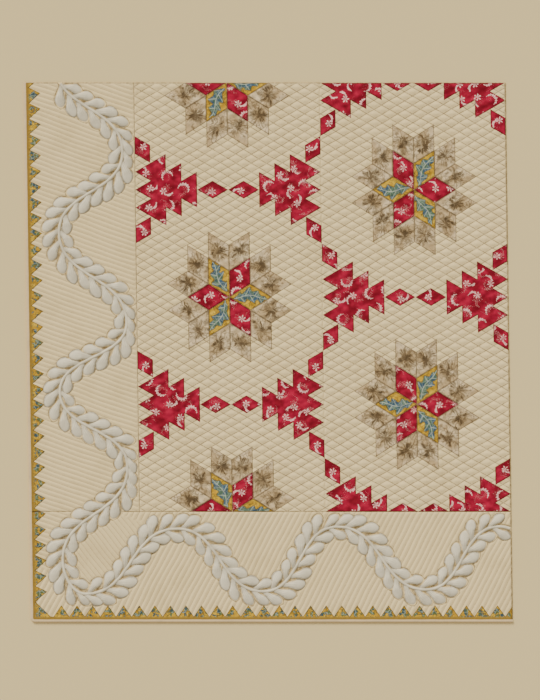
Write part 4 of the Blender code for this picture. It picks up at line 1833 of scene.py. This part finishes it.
@dataclass
class FeatherVine:
    """Stuffed leaves and corded stem on both borders."""

    lay: Layout
    relief: Relief
    attach: Attach
    material: Material
    height: float = 10.2 * MM
    stem_height: float = 5.4 * MM
    kinds: tuple[Point, ...] = ((1.0, 0.47), (0.96, 0.44), (1.0, 0.50), (0.93, 0.46))
    stem_half: float = 5.2 * MM
    mesh_step: float = 0.050
    slack: float = 0.010

    def flat_leaf(self, width: float) -> tuple[Array, Array]:
        """Two layers of cloth joined at the rim, one unit long.

        Args:
            width: full width as a share of the length.

        Returns:
            Points and faces.
        """
        t = np.concatenate([np.linspace(0.0, WIDEST, 15), WIDEST + (1.0 - WIDEST) * np.sin(
            np.linspace(0.1, 1.0, 9) * math.pi / 2.0)])
        edge = np.stack([t, leaf_half_width(t) * width], 1)
        edge[-1] = 1.0, 0.0
        poly = np.concatenate([edge, edge[-2::-1] * (1.0, -1.0)])
        rim, step, rows = len(poly), self.mesh_step, np.arange(-8, 9)
        gy, gx = np.meshgrid(rows * step * ROOT3 / 2, np.arange(0.03, 1.0, step), indexing="ij")
        gx = gx + (rows % 2)[:, None] * step / 2
        fx, fy = gx.ravel(), gy.ravel()
        need = np.where(fy == 0.0, 0.012, step * 0.5)
        ok = inside(poly, fx, fy) & (rim_distance(poly, fx, fy) > need)
        p, tris = triangulate(np.concatenate([poly, np.stack([fx[ok], fy[ok]], 1)]), rim)
        number = np.arange(len(p))
        under = np.where(number < rim, number, number + len(p) - rim)
        depth = rim_distance(poly, *p.T)
        lift = self.slack * (1.0 - np.exp(-(depth / 0.05) ** 2))
        top, low = np.column_stack([p, lift]), np.column_stack([p[rim:], -lift[rim:]])
        return np.concatenate([top, low]), np.concatenate([tris, under[tris[:, ::-1]]])

    @staticmethod
    def fill(obj: Object) -> None:
        """Set up the cloth simulation that stuffs one leaf.

        Args:
            obj: the flat leaf.
        """
        modifier = obj.modifiers.new("fill", "CLOTH")
        modifier.point_cache.frame_end = 25
        cloth = modifier.settings
        cloth.quality = 6
        cloth.mass = 0.15
        cloth.tension_stiffness = cloth.compression_stiffness = 18.0
        cloth.shear_stiffness = 8.0
        cloth.bending_stiffness = 0.08
        cloth.use_pressure = True
        cloth.uniform_pressure_force = 4.0
        cloth.effector_weights.gravity = 0.0

    def stuffed(self) -> list[tuple[Array, Faces]]:
        """Fill each kind of leaf by cloth simulation and lay its under side flat.

        Returns:
            Points and faces of each kind, one unit long and one unit high.
        """
        scene, made = bpy.context.scene, []
        objs = [new_object(f"leaf_form_{k}", *self.flat_leaf(width), self.material)
                for k, (_, width) in enumerate(self.kinds)]
        for obj in objs:
            self.fill(obj)
        for frame in range(1, 21):
            scene.frame_set(frame)
        graph = bpy.context.evaluated_depsgraph_get()
        for obj, (long, width) in zip(objs, self.kinds):
            rest = np.array([v.co for v in obj.data.vertices])
            mesh = obj.evaluated_get(graph).to_mesh()
            move = np.array([v.co for v in mesh.vertices]) - rest
            far = np.linalg.norm(move, axis=1, keepdims=True)
            p = rest + move * np.minimum(1.0, 0.16 / np.maximum(far, 1e-9))
            if np.ptp(p[:, 2]) < 0.1:
                share = np.abs(rest[:, 2]) / self.slack
                p[:, 2] = np.sign(rest[:, 2]) * 0.10 * share ** 0.7
            p[:, 0] = (p[:, 0] - p[:, 0].min()) / np.ptp(p[:, 0]) * long
            p[:, 1] *= width / np.ptp(p[:, 1])
            p[:, 2] /= p[:, 2].max()
            p[:, 2] = np.where(p[:, 2] < 0, p[:, 2] * 0.10, p[:, 2])
            made.append((p, [tuple(f.vertices) for f in mesh.polygons]))
            LOG.info("%s: %d points, far move %.3f", obj.name, len(p), float(far.max()))
        for obj in objs:
            bpy.data.objects.remove(obj, do_unlink=True)
        scene.frame_set(1)
        return made

    def leaf_mesh(self, leaf: Leaf, form: Array, rank: int) -> Array:
        """Points of one leaf in its place.

        Args:
            leaf: where it stands.
            form: the stuffed form's points.
            rank: its number; every second leaf lies a little higher.

        Returns:
            Points in cloth coordinates.
        """
        plan = leaf.plan(form[:, 0] * leaf.length, form[:, 1] * leaf.width / FULL)
        swell = 0.42 + 0.58 * np.clip(form[:, 0] / 0.45, 0, 1) ** 0.8
        z = self.relief.low + 0.25 * MM + form[:, 2] * self.height * swell
        return np.column_stack([plan, z + (0.5 * MM if rank % 2 else 0.0)])

    @staticmethod
    def gather(leaf: Leaf, form: Array) -> Array:
        """Share along, share across, and distance from the rim, at each point of a leaf.

        Args:
            leaf: where it stands.
            form: the stuffed form's points.

        Returns:
            One row for each point.
        """
        half = leaf_half_width(form[:, 0]) * 2.0 * FULL
        across = form[:, 1] / FULL
        rim = np.minimum((half - np.abs(across)) * leaf.width, (1.0 - form[:, 0]) * leaf.length)
        return np.stack([form[:, 0], across / np.maximum(half, 0.05), np.maximum(rim, 0.0)], 1)

    def stem_mesh(self, pts: Array) -> tuple[Array, Faces]:
        """Low rounded cord along the given points.

        Args:
            pts: its middle line in cloth coordinates.

        Returns:
            Points in cloth coordinates, and faces.
        """
        d = np.gradient(pts, axis=0)
        d /= np.hypot(*d.T)[:, None]
        n = np.stack([-d[:, 1], d[:, 0]], 1)
        a = np.linspace(0, math.pi, 8)
        off = np.concatenate([np.cos(a) * self.stem_half, [-2.0 * MM, 2.0 * MM]])
        z = np.concatenate([np.sin(a) * self.stem_height + 0.4 * MM, [0.0, 0.0]])
        z = np.broadcast_to(z + self.relief.low + 0.2 * MM, (len(pts), len(off)))
        verts = np.stack([pts[:, :1] + n[:, :1] * off, pts[:, 1:] + n[:, 1:] * off, z], -1)
        return verts.reshape(-1, 3), tube_faces(len(pts), len(off))

    def place(self, name: str, node: str, xyz: Array, faces: Faces, gather: Array,
              fill: float) -> None:
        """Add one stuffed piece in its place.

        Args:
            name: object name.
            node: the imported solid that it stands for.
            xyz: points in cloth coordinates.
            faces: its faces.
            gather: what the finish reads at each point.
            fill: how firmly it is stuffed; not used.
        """
        obj = new_object(name, self.lay.world(*xyz.T), faces, self.material)
        store(obj, "gather", gather)
        self.attach.stand_in(obj, node, float(xyz[:, 1].min()), float(xyz[:, 1].max()))

    def build(self) -> None:
        """Stuff the leaves, set them out and run the stem between them."""
        lay, forms = self.lay, self.stuffed()
        count = {"left": 0, "foot": 0}
        for rank, leaf in enumerate(self.relief.leaves):
            form, faces = forms[leaf.kind]
            where = "left" if leaf.y > 0 else "foot"
            count[where] += 1
            self.place(f"leaf_{where}_{count[where]:03d}", f"feather_vine_{where}",
                       self.leaf_mesh(leaf, form, rank), faces, self.gather(leaf, form), 0.7)
        line = self.relief.line
        keep = (line[:, 1] < lay.field_h - 3 * MM) & (line[:, 0] < lay.field_w - 3 * MM)
        line = line[keep][::2]
        cut = int(np.argmax(line[:, 1] < 0.0))
        for where, pts in (("left", line[:cut + 1]), ("foot", line[cut:])):
            xyz, faces = self.stem_mesh(pts)
            gather = np.full(xyz.shape, 0.5)
            # The rim distance grows with height, so the stem's low sides take the painted rim
            # shade.
            gather[:, 2] = np.maximum(xyz[:, 2] - self.relief.low - 0.6 * MM, 0.0) * 1.6
            self.place(f"stem_{where}", f"feather_vine_{where}", xyz, faces, gather, 0.9)
        LOG.info("feather vine: %s leaves and two lengths of stem", count)


@dataclass
class QuiltingThread:
    """Rows of stitches that hold the layers together."""

    lay: Layout
    relief: Relief
    attach: Attach
    material: Material
    pitch: float = 8.0 * MM
    stitch: float = 4.8 * MM
    width: float = 1.25 * MM
    edge_gap: float = 2.0 * MM
    vine_gap: float = 2.5 * MM
    patch_gap: float = 1.5 * MM

    def row_points(self, rows: Rows, box: tuple[float, float, float, float],
                   region: Region) -> tuple[Array, Array]:
        """Middles and directions of the stitches of one family in one region.

        Args:
            rows: the family of rows.
            box: lowest x and y and highest x and y of the region.
            region: which quilting the stitches belong to.

        Returns:
            Points and unit directions.
        """
        x0, y0, x1, y1 = box
        a = math.radians(rows.slope)
        t_dir = np.array((math.cos(a), math.sin(a)))
        n_dir = np.array((-math.sin(a), math.cos(a)))
        corners = np.array([(x0, y0), (x1, y0), (x0, y1), (x1, y1)])
        q = corners @ n_dir / rows.spacing + rows.phase
        t = corners @ t_dir
        out = []
        for k in range(math.ceil(q.min()), math.floor(q.max()) + 1):
            c = (k - rows.phase) * rows.spacing
            s = np.arange(t.min() + (k * 0.37 % 1.0) * self.pitch, t.max(), self.pitch)
            out.append(s[:, None] * t_dir + c * n_dir)
        p = np.concatenate(out)
        wx, wy = self.relief.warp(p[:, 0], p[:, 1])
        p = 2 * p - np.stack([wx, wy], 1)
        x, y = p.T
        gap = self.edge_gap
        ok = (x > x0 + gap) & (x < x1 - gap) & (y > y0 + gap) & (y < y1 - gap)
        ok &= self.relief.region(x, y) == region
        ok &= self.relief.vine.read(x, y) > self.vine_gap
        ok &= self.relief.cover.read(x, y) < -self.patch_gap
        p = p[ok]
        return p, np.broadcast_to(t_dir, p.shape)

    def stitches(self, name: str, p: Array, d: Array) -> Object:
        """Small spindle of thread at every point.

        Args:
            name: object name.
            p: middles of the stitches.
            d: their unit directions.

        Returns:
            The stitches, as one object.
        """
        rng = np.random.default_rng(len(p))
        half = self.stitch / 2.0 * rng.uniform(0.75, 1.15, (len(p), 1))
        n = np.stack([-d[:, 1], d[:, 0]], 1)
        ends = [p - d * half, p + n * self.width / 2, p + d * half, p - n * self.width / 2]
        z = self.relief.ground(p[:, 0], p[:, 1])
        rise = np.maximum(self.relief.ground(*ends[0].T), self.relief.ground(*ends[2].T))
        z = np.maximum(z, rise - 0.5 * MM) + 0.15 * MM
        lev = [z - 0.25 * MM, z, z - 0.25 * MM, z, z + 0.40 * MM, z - 0.7 * MM]
        pts = [self.lay.world(*e.T, h) for e, h in zip([*ends, p, p], lev)]
        verts = np.stack(pts, 1).reshape(-1, 3)
        base = np.arange(len(p))[:, None] * 6
        up = [(0, 3, 4), (3, 2, 4), (2, 1, 4), (1, 0, 4)]
        down = [(3, 0, 5), (2, 3, 5), (1, 2, 5), (0, 1, 5)]
        faces = np.concatenate([base + np.array(f) for f in up + down])
        return new_object(name, verts, faces, self.material, smooth=False)

    def build(self) -> None:
        """Stitch the field and both borders."""
        lay, r = self.lay, self.relief
        w, h, b = lay.col_w, lay.field_h, -lay.border + 12 * MM
        jobs = [("thread_column_1", (0.0, 0.0, w, h), [Region.FIELD]),
                ("thread_column_2", (w, 0.0, lay.field_w, h), [Region.FIELD]),
                ("thread_left", (b, 0.0, 0.0, h), [Region.LEFT]),
                ("thread_foot", (b, b, lay.field_w, 0.0),
                 [Region.LEFT, Region.FOOT, Region.LOOP])]
        for name, box, regions in jobs:
            found = [self.row_points(rows, box, k) for k in regions for rows in r.rows[k]]
            p, d = (np.concatenate([f[i] for f in found]) for i in (0, 1))
            obj = self.stitches(name, p, d)
            self.attach.tie(obj, box[1], box[3])
            LOG.info("%s: %d stitches", name, len(p))


@dataclass
class Studio:
    """Pale floor, soft light from the upper left and a camera straight above."""

    floor: Colour = (0.790, 0.610, 0.290)
    reach: float = 14.0
    drop: float = 0.4 * MM
    fill_light: float = 0.62
    key_light: float = 3.5
    key_from: tuple[float, float, float] = (-0.40, 0.80, 0.62)
    lens_mm: float = 120.0
    camera_off: Point = (7.0 * MM, 8.0 * MM)
    camera_height: float = 8.29

    def build(self) -> None:
        """Set the stage."""
        scene, r, z = bpy.context.scene, self.reach, -self.drop
        verts = np.array([(-r, -r, z), (r, -r, z), (r, r, z), (-r, r, z)])
        paper = Graph("studio_paper").finish(self.floor, 0.95)
        new_object("studio_floor", verts, [(0, 1, 2, 3)], paper, False)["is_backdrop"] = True
        scene.world = bpy.data.worlds.new("studio_world")
        scene.world.use_nodes = True
        sky = scene.world.node_tree.nodes["Background"].inputs
        sky[0].default_value, sky[1].default_value = (1.0, 0.98, 0.95, 1.0), self.fill_light
        sun = bpy.data.lights.new("studio_key", "SUN")
        sun.energy, sun.angle, sun.color = self.key_light, math.radians(24), (1.0, 0.985, 0.96)
        key = bpy.data.objects.new("studio_key", sun)
        key.rotation_euler = Vector(self.key_from).to_track_quat("Z", "Y").to_euler()
        lens = bpy.data.cameras.new("camera")
        lens.lens, lens.sensor_width, lens.sensor_fit = self.lens_mm, 36.0, "AUTO"
        lens.clip_end = 100.0
        scene.camera = bpy.data.objects.new("camera", lens)
        low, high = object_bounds()
        scene.camera.location = ((low[0] + high[0]) / 2.0 + self.camera_off[0],
                                 (low[1] + high[1]) / 2.0 + self.camera_off[1],
                                 self.camera_height)
        for obj in (key, scene.camera):
            scene.collection.objects.link(obj)
        LOG.info("studio ready")


def main() -> tuple:
    """Build the looks on the frame.

    Returns:
        The object's box as packed.
    """
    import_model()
    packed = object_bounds()
    lay = Layout.read()
    LOG.info("patch %.1f mm, border %.0f mm, lean %.4f", lay.patch * 1e3, lay.border * 1e3,
             lay.lean)
    finishes = {
        # line, strength and outline set the painted shade along the rows of quilting and at rims,
        # seams and free edges.
        "ground": QuiltedCotton("ground_cotton", (0.885, 0.680, 0.335), 0.066,
                                strength=1.0).build(),
        "border": QuiltedCotton("border_cotton", (0.870, 0.665, 0.325), 0.066,
                                strength=0.62).build(),
        "backing": QuiltedCotton("backing_cotton", (0.820, 0.680, 0.400), 0.060,
                                 outline=0.55).build(),
        "wadding": PlainCotton("wadding_fleece", (0.80, 0.77, 0.68)).build(),
        "feather": FeatherCotton("feather_cotton").build(),
        "binding": PlainCotton("binding_tape", (0.750, 0.545, 0.285), cloud=0.30).build(),
        "thread": PlainCotton("quilting_thread", (0.300, 0.235, 0.150)).build(),
    }
    prints = {
        Print.CRIMSON: CrimsonPrint("crimson_print").build(),
        Print.CHINTZ: ChintzPrint("chintz_print", spray=True).build(),
        Print.TOILE: ToilePrint("toile_print").build(),
    }
    teeth = ChintzPrint("chintz_edging", blue=(0.050, 0.085, 0.090),
                        green=(0.110, 0.140, 0.050)).build()
    stem = StemLine(lay).points()
    leaves = FeatherPlan(lay, stem).leaves()
    relief = Relief(lay, stem, leaves)
    attach = Attach(lay)
    tailor = Tailor(lay, relief, attach)
    Patchwork(lay, tailor, prints).build()
    Sawtooth(lay, tailor, teeth).build()
    Cloths(lay, relief, attach, finishes).build()
    Binding(lay, attach, finishes["binding"]).build()
    FeatherVine(lay, relief, attach, finishes["feather"]).build()
    QuiltingThread(lay, relief, attach, finishes["thread"]).build()
    Studio().build()
    return packed


if __name__ == "__main__":
    packed_box = main()
